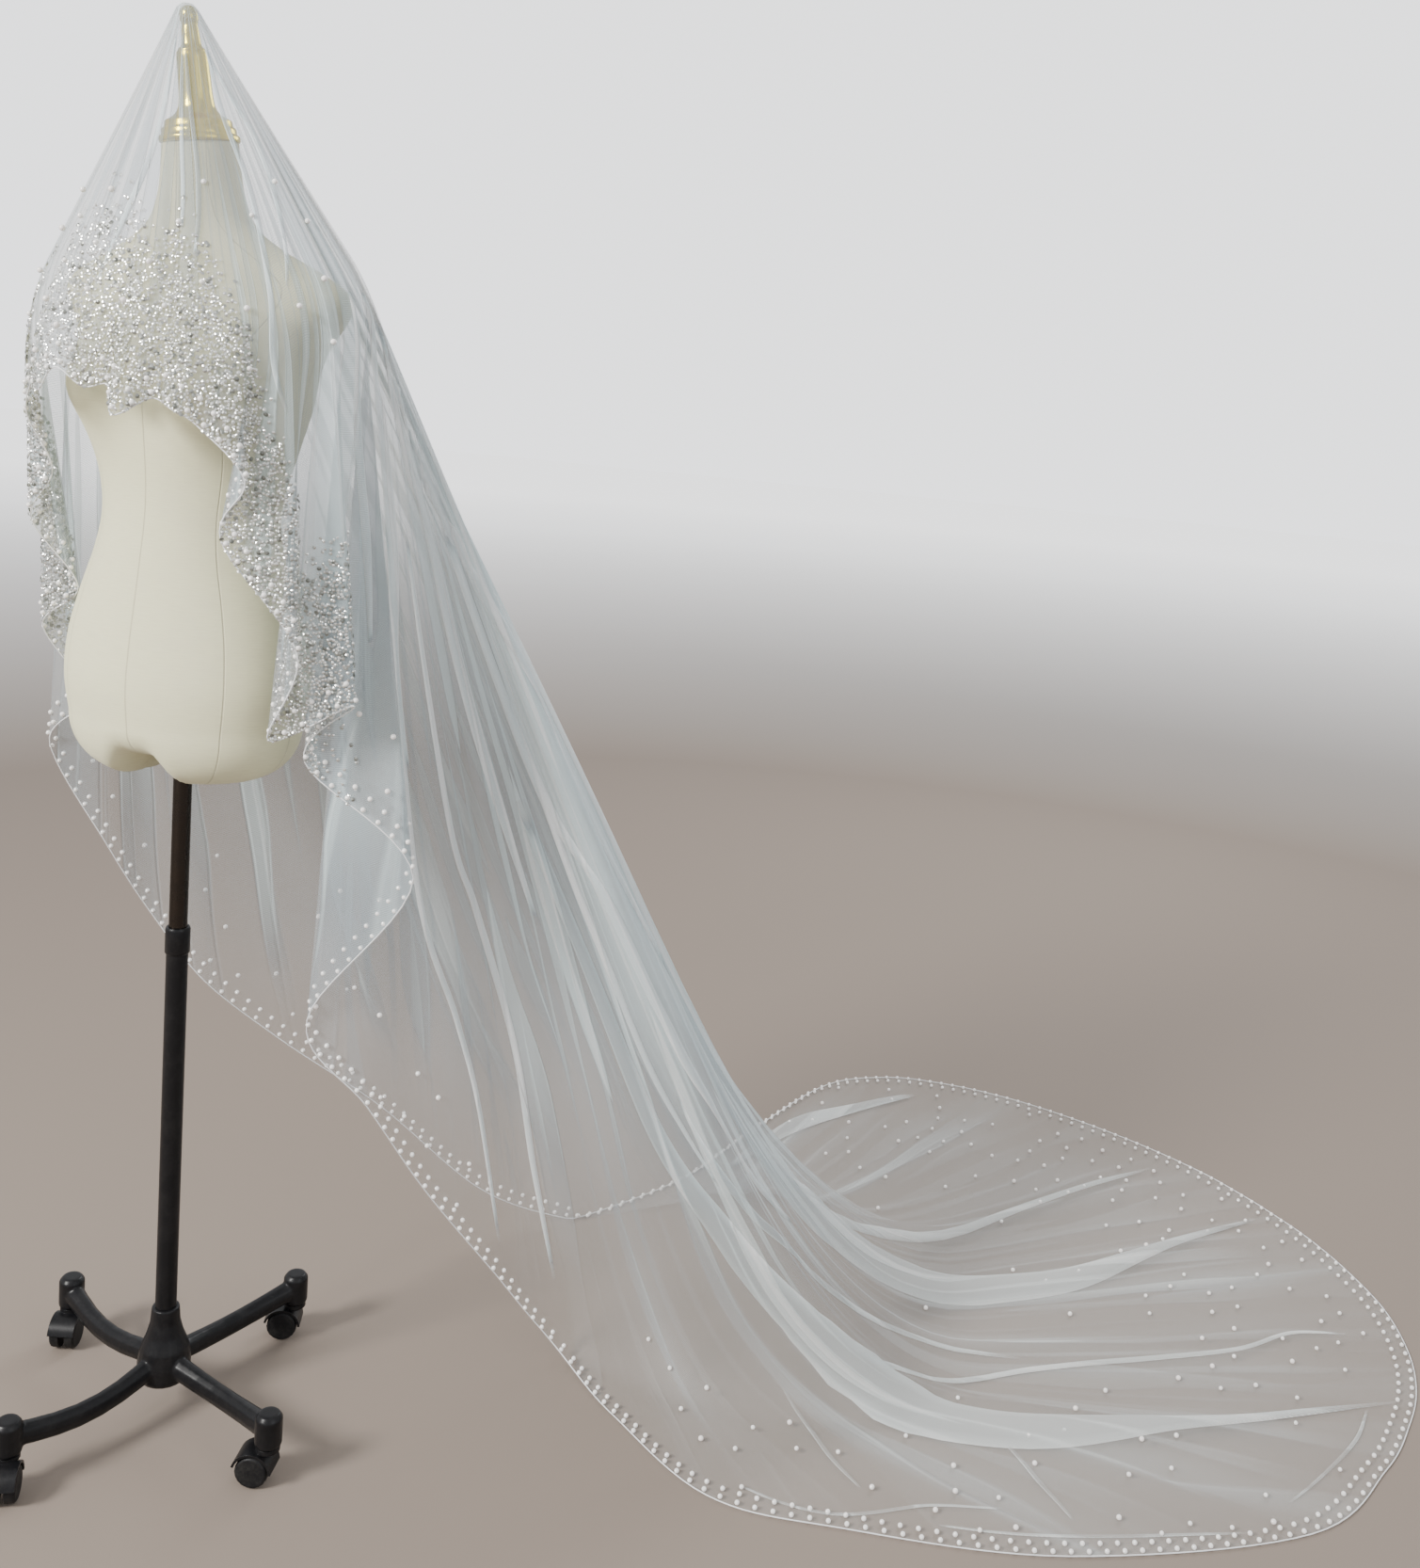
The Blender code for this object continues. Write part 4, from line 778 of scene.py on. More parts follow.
# height, half width, front, back, and the shift forward and to the wearer's left
formSections = np.array((
    (0.905, 0.147, 0.100, 0.112, 0.000, 0.000),
    (0.950, 0.154, 0.104, 0.120, 0.000, 0.000),
    (1.000, 0.150, 0.100, 0.112, 0.000, 0.000),
    (1.050, 0.136, 0.094, 0.094, 0.000, 0.001),
    (1.100, 0.118, 0.088, 0.078, 0.000, 0.002),
    (1.140, 0.110, 0.084, 0.072, 0.000, 0.003),
    (1.180, 0.114, 0.084, 0.074, 0.000, 0.004),
    (1.230, 0.128, 0.090, 0.082, 0.000, 0.005),
    (1.280, 0.142, 0.096, 0.090, 0.000, 0.006),
    (1.320, 0.148, 0.094, 0.096, 0.000, 0.007),
    (1.350, 0.160, 0.086, 0.098, 0.000, 0.008),
    (1.375, 0.178, 0.076, 0.094, 0.000, 0.010),
    (1.395, 0.188, 0.064, 0.084, 0.000, 0.010),
    (1.412, 0.180, 0.056, 0.074, 0.000, 0.010),
    (1.432, 0.144, 0.052, 0.066, 0.002, 0.010),
    (1.452, 0.100, 0.048, 0.058, 0.006, 0.010),
    (1.474, 0.066, 0.046, 0.050, 0.009, 0.010),
    (1.502, 0.050, 0.044, 0.046, 0.012, 0.010),
    (1.532, 0.044, 0.042, 0.042, 0.015, 0.010),
    (1.5615, 0.042, 0.040, 0.040, 0.018, 0.010),
))


def neckAxis():
    top = formSections[-1]
    foot = Vector((top[5], -top[4], top[0]))
    return foot, (Vector(veil["crown"]) - foot).normalized()


def formRing(section):
    # one level of the form, tilted at the neck as the cap is
    height, halfWidth, front, back, ahead, aside = section
    bust = math.exp(-((height - form["bustZ"]) / form["bustSpread"]) ** 2)
    _, axis = neckAxis()
    share = float(smoothStep(form["neckLean"], formSections[-1][0], height))
    ring = []
    for side in range(form["sides"]):
        angle = 2 * math.pi * side / form["sides"]
        forward = math.cos(angle)
        x = halfWidth * math.sin(angle)
        y = -(front if forward > 0 else back) * forward
        if forward > 0:
            near = math.exp(-((abs(x) - form["bustX"]) / form["bustWidth"]) ** 2)
            y -= form["bustOut"] * bust * near * forward ** 0.5
        z = height - share * (axis.x * x + axis.y * y) / axis.z
        ring.append(Vector((x + aside, y - ahead, z)))
    return ring


def seatRings():
    # the two lobes under the form, from the pole's hole out to the hips
    hip = formRing(formSections[0])
    height = formSections[0][0]
    below = []
    for ring in range(1, form["lobeRings"]):
        share = math.cos(math.pi / 2 * ring / form["lobeRings"])
        row = []
        for point in hip:
            x, y = point.x * share, point.y * share
            cleft = float(smoothStep(form["cleftHalf"], form["cleftHalf"] + form["cleftEdge"],
                                     abs(x)))
            drop = form["lobeShare"] + (1 - form["lobeShare"]) * cleft
            drop *= form["lobeDrop"] * math.sqrt(1 - share ** 4)
            row.append(Vector((x, y, height - drop)))
        below.append(row)
    hole = [Vector((p.x, p.y, 0)).normalized() * form["seatRadius"] for p in hip]
    floor = Vector((0, 0, height - form["lobeDrop"] * form["lobeShare"]))
    return [[p + floor for p in hole]] + below[::-1]


def mapPanels(shape):
    # a UV map of the form's panels: turn and height
    sides = form["sides"]
    panels = shape.loops.layers.uv.new("panels")
    for face in shape.faces:
        turns = [vertex.index % sides for vertex in face.verts]
        wraps = max(turns) - min(turns) > sides / 2
        for loop in face.loops:
            turn = loop.vert.index % sides
            if wraps and turn < sides / 2:
                turn += sides
            loop[panels].uv = (turn / sides, loop.vert.co.z)


def formPiece():
    # smooth linen-covered torso
    sections, last = [], len(formSections) - 1
    for index in range(last):
        around = [formSections[min(last, max(0, index + k))] for k in (-1, 0, 1, 2)]
        sections += [between(*around, step / form["steps"]) for step in range(form["steps"])]
    rows = seatRings() + [formRing(section) for section in [*sections, formSections[-1]]]
    sides, top = form["sides"], (len(rows) - 1) * form["sides"]
    faces = []
    for low in range(0, top, sides):
        for side in range(sides):
            a, b = low + side, low + (side + 1) % sides
            faces.append((a, b, b + sides, a + sides))
    faces.append(tuple(range(sides))[::-1])
    faces.append(tuple(range(top, top + sides)))
    piece = meshPiece("formLinen", [p for row in rows for p in row], faces)
    rework(piece.data, faceOutward, mapPanels)
    piece.data.set_sharp_from_angle(angle=math.radians(form["keepAngle"]))
    return toPole(piece)


def turnedPiece(name, profile, sides, place):
    # solid turned round Z from radius and height, with the ends closed
    points, faces, rows = [], [], []
    for radius, height in profile:
        start = len(points)
        if radius < 1e-6:
            points.append(Vector((0, 0, height)))
            rows.append([start] * sides)
            continue
        for side in range(sides):
            angle = 2 * math.pi * side / sides
            points.append(Vector((radius * math.cos(angle), radius * math.sin(angle), height)))
        rows.append(list(range(start, start + sides)))
    for lower, upper in zip(rows, rows[1:]):
        for side in range(sides):
            beside = (side + 1) % sides
            corners = [lower[side], lower[beside], upper[beside], upper[side]]
            faces.append([c for k, c in enumerate(corners) if c != corners[k - 1]])
    faces += [row for row in (rows[0], rows[-1]) if row[0] != row[1]]
    piece = meshPiece(name, points, [face for face in faces if len(face) > 2])
    piece.data.transform(place)
    rework(piece.data, faceOutward)
    piece.data.set_sharp_from_angle(angle=math.radians(stand["keepAngle"]))
    return piece


cap = dict(
    sides=72,
    bell=((0.0415, 0.0000), (0.0430, 0.0006), (0.0436, 0.0020), (0.0436, 0.0055),
          (0.0430, 0.0070), (0.0415, 0.0080), (0.0405, 0.0090), (0.0402, 0.0140),
          (0.0390, 0.0158), (0.0375, 0.0165), (0.0366, 0.0190), (0.0360, 0.0230),
          (0.0338, 0.0248), (0.0310, 0.0260), (0.0272, 0.0283), (0.0240, 0.0310),
          (0.0214, 0.0348), (0.0198, 0.0390), (0.0187, 0.0460), (0.0180, 0.0540),
          (0.0174, 0.0720), (0.0170, 0.0900), (0.0167, 0.0935), (0.0160, 0.0960)),
    knob=((0.0150, 0.0963), (0.0149, 0.0975), (0.0145, 0.0987), (0.0131, 0.0998),
          (0.0118, 0.1010), (0.0109, 0.1032), (0.0104, 0.1060), (0.0098, 0.1120),
          (0.0094, 0.1190), (0.0088, 0.1224), (0.0085, 0.1240), (0.0089, 0.1258),
          (0.0096, 0.1285), (0.0100, 0.1312), (0.0100, 0.1340), (0.0095, 0.1370),
          (0.0086, 0.1395), (0.0071, 0.1415), (0.0050, 0.1430), (0.0026, 0.1439),
          (0.0000, 0.1442)), gap=0.0003)
pole = dict(rodRadius=0.0110, sleeveRadius=0.0130, collarRise=0.0018, fit=0.0003, sides=64)
stand = dict(baseVoxel=0.0016, smoothSteps=6, smoothFactor=0.5, bevel=0.0006, keepAngle=38.0,
             flatAngle=0.5, mergeDistance=1e-5)


def capFrame():
    foot, axis = neckAxis()
    lean = Vector((0, 0, 1)).rotation_difference(axis).to_matrix().to_4x4()
    return Matrix.Translation(foot + axis * cap["gap"] + polePlace) @ lean


def mergeDoubles(shape):
    bmesh.ops.remove_doubles(shape, verts=shape.verts, dist=stand["mergeDistance"])


def dropFlatEdges(shape):
    flat = [edge for edge in shape.edges if len(edge.link_faces) == 2
            and edge.calc_face_angle(0) < math.radians(stand["flatAngle"])]
    bmesh.ops.dissolve_edges(shape, edges=flat, use_verts=False)


def packedCopy(node, name, *steps):
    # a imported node's own shape, merged at its doubles
    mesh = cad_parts[node].data.copy()
    mesh.name = name
    mesh.materials.clear()
    rework(mesh, mergeDoubles, *steps)
    return linkObject(bpy.data.objects.new(name, mesh))


def dressedCopy(node, name):
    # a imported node's own shape with soft edges
    piece = packedCopy(node, name, dropFlatEdges)
    keepAngle = math.radians(stand["keepAngle"])
    piece.data.shade_smooth()
    piece.data.set_sharp_from_angle(angle=keepAngle)
    setAll(piece.modifiers.new("edges", "BEVEL"), width=stand["bevel"], segments=2,
           limit_method="ANGLE", angle_limit=keepAngle, harden_normals=False)
    return frozen(piece, name)


def castBase():
    # the base as one casting, its legs blended into the hub and the sockets
    piece = packedCopy("stand_base", "baseBlank")
    setAll(piece.modifiers.new("cast", "REMESH"), mode="VOXEL", voxel_size=stand["baseVoxel"],
           use_smooth_shade=True)
    setAll(piece.modifiers.new("soften", "SMOOTH"), factor=stand["smoothFactor"],
           iterations=stand["smoothSteps"])
    result = frozen(piece, "baseCasting")
    result.data.shade_smooth()
    return result


# materials

looks = dict(
    # tulle: shade is a painted shade for the thin parts of the hanging fall, ridge a painted
    # highlight for fold edges and crests
    tulle=dict(color=(0.64, 0.76, 0.79), haze=(0.60, 0.61, 0.61), shade=(0.38, 0.44, 0.48),
               ridge=(0.93, 0.96, 0.97), laid=(0.78, 0.77, 0.73), roughness=0.60, sheen=0.25,
               sheenRoughness=0.4, gloss=0.25, relief=0.0008, reliefStrength=0.7,
               meshesPerMetre=620.0, netThread=0.13, netRange=(0.70, 1.55),
               layFrom=1.5, layFull=2.1, layTint=0.65, layerWeight=0.75,
               foldShare=(1.0, 2.6, 0.07, 1.0), bandLayers=2.8, edgeLayersAndHighlight=4.2,
               # the ramp runs by layer count from haze through painted shade and color to the
               # painted highlight
               ramp=((0.8, 2.4, "shade"), (2.4, 4.6, "color"), (4.8, 9.0, "ridge")),
               wideFolds=dict(Count=0.8, Wander=1.6, Width=0.9, Edge=0.035, Offset=3.1),
               fineFolds=dict(Count=1.9, Wander=2.4, Width=0.7, Edge=0.07, Offset=11.7)),
    linen=dict(color=(0.76, 0.745, 0.50), thread=(0.66, 0.635, 0.40), stitch=(0.40, 0.36, 0.26),
               soil=(0.62, 0.58, 0.46), roughness=0.82, wearScale=9.0, wear=0.35, seamSpread=1.6,
               threadsRound=760.0, threadsUp=1150.0,
               depth=0.00022, stitchesPerMetre=420.0, sheen=0.15, sheenRoughness=0.5),
    brass=dict(color=(0.78, 0.62, 0.05), worn=(0.60, 0.44, 0.03), roughness=0.17,
               metallic=1.0, gloss=0.5, wearScale=30.0, wear=0.5, grain=0.00006),
    chrome=dict(color=(0.050, 0.043, 0.038), worn=(0.030, 0.026, 0.023), roughness=0.22,
                metallic=1.0, gloss=0.5, wearScale=35.0, wear=0.6, grain=0.00003),
    black=dict(color=(0.006, 0.006, 0.007), worn=(0.016, 0.015, 0.015), roughness=0.32,
               metallic=0.0, gloss=0.22, wearScale=45.0, wear=0.5, grain=0.00012),
    tread=dict(color=(0.008, 0.008, 0.009), worn=(0.028, 0.027, 0.025), roughness=0.50,
               metallic=0.0, gloss=0.2, wearScale=60.0, wear=0.8, grain=0.00010),
    pearl=dict(color=(0.99, 0.97, 0.94), second=(0.97, 0.90, 0.86), roughness=0.16,
               metallic=0.0, coat=0.8),
    # sequin: the dark second colour on some sequins is a painted dark reflection
    sequin=dict(color=(0.92, 0.93, 0.90), second=(0.15, 0.16, 0.14), roughness=0.24,
                metallic=0.75, coat=0.3),
    thread=dict(color=(0.86, 0.87, 0.88), second=(0.72, 0.74, 0.76), roughness=0.60,
                metallic=0.0, coat=0.0))


def mathNode(tree, operation, first, second=None, clamp=False):
    return addNode(tree, "ShaderNodeMath", {0: first, 1: second}, operation=operation,
                   use_clamp=clamp)["Value"]


def rangeNode(tree, value, low, high, first=0.0, last=1.0):
    return addNode(tree, "ShaderNodeMapRange", {
        "Value": value, "From Min": low, "From Max": high, "To Min": first,
        "To Max": last})["Result"]


def noiseNode(tree, vector, scale, detail=2.0, roughness=0.5):
    return addNode(tree, "ShaderNodeTexNoise", {
        "Vector": vector, "Scale": scale, "Detail": detail, "Roughness": roughness})["Fac"]


def bumpNode(tree, height, distance, strength=1.0):
    return addNode(tree, "ShaderNodeBump", {
        "Distance": distance, "Strength": strength, "Height": height})["Normal"]


def colorMix(tree, mask, first, second):
    ends = [value if hasattr(value, "links") else (*value, 1.0) for value in (first, second)]
    return addNode(tree, "ShaderNodeMix", {"Factor": mask, 6: ends[0], 7: ends[1]},
                   data_type="RGBA")[2]


def splitNode(tree, vector):
    return addNode(tree, "ShaderNodeSeparateXYZ", {"Vector": vector})


def joinNode(tree, **axes):
    return addNode(tree, "ShaderNodeCombineXYZ", axes)["Vector"]


def mapNode(tree, name):
    return addNode(tree, "ShaderNodeUVMap", {}, uv_map=name)["UV"]


def attributeNode(tree, name):
    return addNode(tree, "ShaderNodeAttribute", {}, attribute_name=name)["Fac"]


def groupNode(tree, group, **values):
    return addNode(tree, "ShaderNodeGroup", values, node_tree=group)


def objectPlace(tree):
    return addNode(tree, "ShaderNodeTexCoord", {})["Object"]


def maskGroup(name, inputs, outputs):
    tree, start, stop = newGroup("ShaderNodeTree", name, [("Vector", "Vector", None)] + [
        (label, "Float", value) for label, value in inputs.items()],
        [(label, "Float") for label in outputs])
    return tree, start, stop, partial(mathNode, tree)


def wearGroup():
    # soft blotches and fine scuffs, for handling marks and dust
    tree, start, stop, calc = maskGroup("handlingWear", dict(Scale=40.0, Amount=0.5),
                                        ("Mask", "Height"))
    broad = noiseNode(tree, start["Vector"], start["Scale"], 5.0, 0.62)
    fine = noiseNode(tree, start["Vector"], calc("MULTIPLY", start["Scale"], 7.0), 3.0)
    mixed = calc("ADD", calc("MULTIPLY", broad, 0.7), calc("MULTIPLY", fine, 0.3))
    mask = rangeNode(tree, mixed, 0.46, 0.66)
    connect(tree, stop, {"Mask": calc("MULTIPLY", mask, start["Amount"], True), "Height": fine})
    return tree


def weaveGroup():
    # plain weave from the turn and the height: two crossing rows of threads, with slubs
    tree, start, stop, calc = maskGroup("plainWeave", dict(Round=760.0, Up=1150.0),
                                        ("Height", "Slub"))
    split = splitNode(tree, start["Vector"])
    across = calc("MULTIPLY", split["X"], start["Round"])
    upward = calc("MULTIPLY", split["Y"], start["Up"])
    warp, weft = (calc("ABSOLUTE", calc("SINE", calc("MULTIPLY", run, math.pi)))
                  for run in (across, upward))
    pick = calc("ABSOLUTE", calc("MODULO", calc("ADD", calc("FLOOR", across),
                                                calc("FLOOR", upward)), 2.0))
    height = calc("ADD", calc("MULTIPLY", warp, pick),
                  calc("MULTIPLY", weft, calc("SUBTRACT", 1.0, pick)))
    place = joinNode(tree, X=calc("MULTIPLY", across, 0.05), Y=calc("MULTIPLY", upward, 0.9))
    connect(tree, stop, {"Height": height, "Slub": noiseNode(tree, place, 1.0)})
    return tree


def netGroup():
    # six-sided meshes of tulle on the flat cut: a mask that is one on the threads
    tree, start, stop, _ = maskGroup("tulleNet", dict(Cells=620.0, Thread=0.10), ("Mask",))
    cells = addNode(tree, "ShaderNodeTexVoronoi", {
        "Randomness": 0.35, "Vector": start["Vector"], "Scale": start["Cells"]},
        feature="DISTANCE_TO_EDGE", voronoi_dimensions="2D")
    mask = rangeNode(tree, cells["Distance"], 0.0, start["Thread"], 1.0, 0.0)
    connect(tree, stop, {"Mask": mask})
    return tree


def foldGroup():
    # soft pleats that lie flat: bands of doubled cloth with a fine edge line on each side; in the
    # tulle these lines come out as a painted highlight
    tree, start, stop, calc = maskGroup("flatFolds", dict(
        Count=1.0, Wander=0.8, Width=0.5, Edge=0.05, Offset=0.0), ("Band", "Line"))
    split = splitNode(tree, start["Vector"])
    across, down = split["X"], split["Y"]
    drift = joinNode(tree, X=calc("MULTIPLY", across, 0.22), Y=calc("MULTIPLY", down, 1.1),
                     Z=start["Offset"])
    sway = calc("SUBTRACT", noiseNode(tree, drift, 1.0), 0.5)
    place = calc("ADD", calc("MULTIPLY", across, start["Count"]),
                 calc("MULTIPLY", sway, start["Wander"]))
    place = calc("ADD", place, start["Offset"])
    cell = calc("FLOOR", place)
    pick = addNode(tree, "ShaderNodeTexWhiteNoise", {"W": cell}, noise_dimensions="1D")["Value"]
    life = joinNode(tree, X=calc("MULTIPLY", cell, 7.3), Y=down)
    open_ = rangeNode(tree, noiseNode(tree, life, 1.3), 0.42, 0.62)
    half = calc("MULTIPLY", calc("MULTIPLY", open_, start["Width"]),
                rangeNode(tree, pick, 0.0, 1.0, 0.15, 0.5))
    away = calc("ABSOLUTE", calc("SUBTRACT", calc("FRACT", place), 0.5))
    band = rangeNode(tree, calc("SUBTRACT", half, away), 0.0,
                     calc("MULTIPLY", start["Edge"], 0.6))
    fromLine = calc("ABSOLUTE", calc("SUBTRACT", away, half))
    line = calc("MULTIPLY", rangeNode(tree, fromLine, 0.0, start["Edge"], 1.0, 0.0), open_)
    connect(tree, stop, {"Band": band, "Line": line})
    return tree


wearTree, weaveTree, netTree, foldTree = wearGroup(), weaveGroup(), netGroup(), foldGroup()


def newMaterial(name, settings):
    material = bpy.data.materials.new(name)
    material.use_nodes = True
    tree = material.node_tree
    shader = tree.nodes["Principled BSDF"].inputs
    connect(tree, shader, {"Roughness": settings["roughness"],
                           "Base Color": (*settings["color"], 1.0)})
    return material, tree, shader, partial(mathNode, tree)


def hardMaterial(name, settings):
    # metal, enamel or rubber, rougher and paler where hands and dust have been
    material, tree, shader, _ = newMaterial(name, settings)
    wear = groupNode(tree, wearTree, Vector=objectPlace(tree), Scale=settings["wearScale"],
                     Amount=settings["wear"])
    rough = settings["roughness"]
    connect(tree, shader, {
        "Metallic": settings["metallic"], "Specular IOR Level": settings["gloss"],
        "Base Color": colorMix(tree, wear["Mask"], settings["color"], settings["worn"]),
        "Roughness": rangeNode(tree, wear["Mask"], 0.0, 1.0, rough, rough + 0.22),
        "Normal": bumpNode(tree, wear["Height"], settings["grain"], 0.5)})
    return material


def linenMaterial():
    settings = looks["linen"]
    material, tree, shader, calc = newMaterial("formLinen", settings)
    panels = mapNode(tree, "panels")
    weave = groupNode(tree, weaveTree, Vector=panels, Round=settings["threadsRound"],
                      Up=settings["threadsUp"])
    wear = groupNode(tree, wearTree, Vector=objectPlace(tree), Scale=settings["wearScale"],
                     Amount=settings["wear"])
    split = splitNode(tree, panels)
    turns = calc("ADD", calc("MULTIPLY", split["X"], float(form["seamCount"])), 0.5)
    nearest = calc("ABSOLUTE", calc("SUBTRACT", calc("FRACT", turns), 0.5))
    seamReach = form["seamWidth"] * form["seamCount"] * settings["seamSpread"]
    seam = rangeNode(tree, nearest, 0.0, seamReach, 1.0, 0.0)
    stitchRun = calc("FRACT", calc("MULTIPLY", split["Y"], settings["stitchesPerMetre"]))
    stitch = calc("MULTIPLY", seam, rangeNode(tree, stitchRun, 0.2, 0.5, 0.55, 1.0))
    tone = calc("MULTIPLY", rangeNode(tree, weave["Slub"], 0.35, 0.7), 0.5)
    woven = colorMix(tree, tone, settings["color"], settings["thread"])
    marked = colorMix(tree, calc("MULTIPLY", stitch, 0.55), woven, settings["stitch"])
    soiled = colorMix(tree, calc("MULTIPLY", wear["Mask"], 0.6), marked, settings["soil"])
    height = calc("SUBTRACT", calc("MULTIPLY", weave["Height"], 0.35),
                  calc("MULTIPLY", seam, 3.0))
    connect(tree, shader, {
        "Base Color": soiled, "Sheen Weight": settings["sheen"],
        "Sheen Roughness": settings["sheenRoughness"],
        "Normal": bumpNode(tree, height, settings["depth"])})
    return material


def tulleMaterial():
    # net that lets less through the more layers lie over each other; its colour is set by that
    # count, with painted shade at middle counts and painted highlight where the most layers pile up
    settings = looks["tulle"]
    material, tree, shader, calc = newMaterial("veilTulle", settings)
    folds = mapNode(tree, "folds")
    net = groupNode(tree, netTree, Vector=mapNode(tree, "cut"),
                    Cells=settings["meshesPerMetre"], Thread=settings["netThread"])["Mask"]
    wide = groupNode(tree, foldTree, Vector=folds, **settings["wideFolds"])
    fine = groupNode(tree, foldTree, Vector=folds, **settings["fineFolds"])
    layers = attributeNode(tree, "layers")
    bands = calc("ADD", wide["Band"], calc("MULTIPLY", fine["Band"], 0.6))
    edges = calc("ADD", wide["Line"], calc("MULTIPLY", fine["Line"], 0.5))
    gathered = calc("ADD", calc("MULTIPLY", bands, settings["bandLayers"]),
                    calc("MULTIPLY", edges, settings["edgeLayersAndHighlight"]))
    share = rangeNode(tree, layers, *settings["foldShare"])
    count = calc("ADD", calc("MULTIPLY", layers, settings["layerWeight"]),
                 calc("MULTIPLY", gathered, share))
    clear = calc("POWER", 1.0 - veil["netAlpha"], count)
    woven = rangeNode(tree, net, 0.0, 1.0, *settings["netRange"])
    # colour by layer count: a painted shade where few layers hang in the fall, a painted highlight
    # along fold edges and ridges
    tone = settings["haze"]
    for low, high, key in settings["ramp"]:
        tone = colorMix(tree, rangeNode(tree, count, low, high), tone, settings[key])
    laid = rangeNode(tree, splitNode(tree, folds)["Y"], settings["layFrom"],
                     settings["layFull"], 0.0, settings["layTint"])
    relief = calc("ADD", calc("MULTIPLY", edges, 4.0), calc("MULTIPLY", net, 0.3))
    connect(tree, shader, {
        "Alpha": calc("MULTIPLY", calc("SUBTRACT", 1.0, clear), woven, True),
        "Base Color": colorMix(tree, laid, tone, settings["laid"]),
        "Normal": bumpNode(tree, relief, settings["relief"], settings["reliefStrength"]),
        "Sheen Weight": settings["sheen"], "Sheen Roughness": settings["sheenRoughness"],
        "Specular IOR Level": settings["gloss"]})
    return material


def trimMaterial(name, settings):
    # beads and sequins: a tint that changes from one to the next, and faint cloudiness; on the
    # sequins the dark second colour is a painted dark reflection
    material, tree, shader, calc = newMaterial(name, settings)
    tintAndPaintedReflection = calc("POWER", attributeNode(tree, "tintAndPaintedReflection"), 3.0)
    cloud = rangeNode(tree, noiseNode(tree, objectPlace(tree), 90.0, 1.0), 0.3, 0.7)
    mask = calc("ADD", calc("MULTIPLY", tintAndPaintedReflection, 0.85), calc("MULTIPLY", cloud, 0.15), True)
    rough = settings["roughness"]
    connect(tree, shader, {
        "Base Color": colorMix(tree, mask, settings["color"], settings["second"]),
        "Roughness": rangeNode(tree, mask, 0.0, 1.0, rough * 0.7, rough * 1.6),
        "Metallic": settings["metallic"], "Coat Weight": settings["coat"],
        "Coat Roughness": 0.06})
    return material


tulleLook = tulleMaterial()
linenLook = linenMaterial()
brassLook = hardMaterial("capBrass", looks["brass"])
chromeLook = hardMaterial("tubeChrome", looks["chrome"])
blackLook = hardMaterial("standBlack", looks["black"])
treadLook = hardMaterial("wheelBlack", looks["tread"])
pearlLook = trimMaterial("hemPearl", looks["pearl"])
sequinLook = trimMaterial("silverSequin", looks["sequin"])
threadLook = trimMaterial("hemThread", looks["thread"])
print("materials made")


def give(piece, material):
    piece.data.materials.clear()
    piece.data.materials.append(material)
    return piece


def placePiece(piece, body, slot, *nodes):
    piece.data.validate()
    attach(piece, body)
    if nodes:
        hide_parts(*nodes)
    return piece


# the veil and everything sewn on it

veilCloth = give(veilPiece(), tulleLook)
placePiece(veilCloth, mainBody, "tulle", "veil_crown", "veil_front", "veil_left_cascade",
           "veil_left_side", "veil_back_fall", "veil_train", "veil_right_side",
           "veil_right_cascade")
doubledFolds = placePiece(give(foldPiece(), tulleLook), mainBody, "tulle")
print("veil", len(veilCloth.data.polygons), "faces, folds", len(doubledFolds.data.polygons))

pearlRow, beadScatter = pearlTree(), scatterTree("looseBeads", False)
sequinScatter = scatterTree("sequinScatter", True)
rimPearls = []
pearlRise = trim["pearlRadius"] * trim["pearlRise"]
pearlLowest = trim["pearlRadius"] + trim["floorGap"]
outerPath = hemPath(trim["hemInset"], pearlRise, pearlLowest)
for row in range(2):
    path = hemPath(trim["hemInset"] + row * trim["rowGap"], pearlRise, pearlLowest)
    places = evenPlaces(outerPath, trim["pearlSpacing"], row / 2)
    rimPearls.append(withTree(rowPoints(f"pearlPoints{row}", path, places), pearlRow, {
        "Radius": trim["pearlRadius"], "Finish": pearlLook}, f"hemPearls{row + 1}"))
loosePearls = withTree(patchOfCloth("loosePatch", pearlDensity()), beadScatter, {
    "Distance": trim["scatterDistance"], "Radius": trim["scatterRadius"],
    "Seed": trim["scatterSeed"], "Finish": pearlLook}, "loosePearls")
sequins = withTree(patchOfCloth("sequinPatch", sequinDensity()), sequinScatter, {
    "Distance": trim["sequinDistance"], "Radius": trim["sequinRadius"],
    "Seed": trim["sequinSeed"], "Finish": sequinLook}, "sequinBand")
hemCord = pathCurve("hemPath", hemPath(0.0, 0.0, veil["half"]))
setAll(hemCord.data, bevel_depth=trim["edgeRadius"], bevel_resolution=1)
hemCord = give(frozen(hemCord, "hemCord"), threadLook)
hemCord.data.shade_smooth()
for piece in (*rimPearls, loosePearls, sequins, hemCord):
    placePiece(piece, mainBody, "tulle")
    print(piece.name, sum(len(face.vertices) - 2 for face in piece.data.polygons), "triangles")

# the form and its cap

formCloth = give(formPiece(), linenLook)
placePiece(formCloth, mainBody, "form_linen", "dress_form")
for name, profile, node in (("capBell", cap["bell"], "neck_cap"),
                            ("capKnob", cap["knob"], "finial")):
    piece = give(turnedPiece(name, profile, cap["sides"], capFrame()), brassLook)
    placePiece(piece, mainBody, "cap_brass", node)
print("form and cap made")

# the pole, the base and the casters

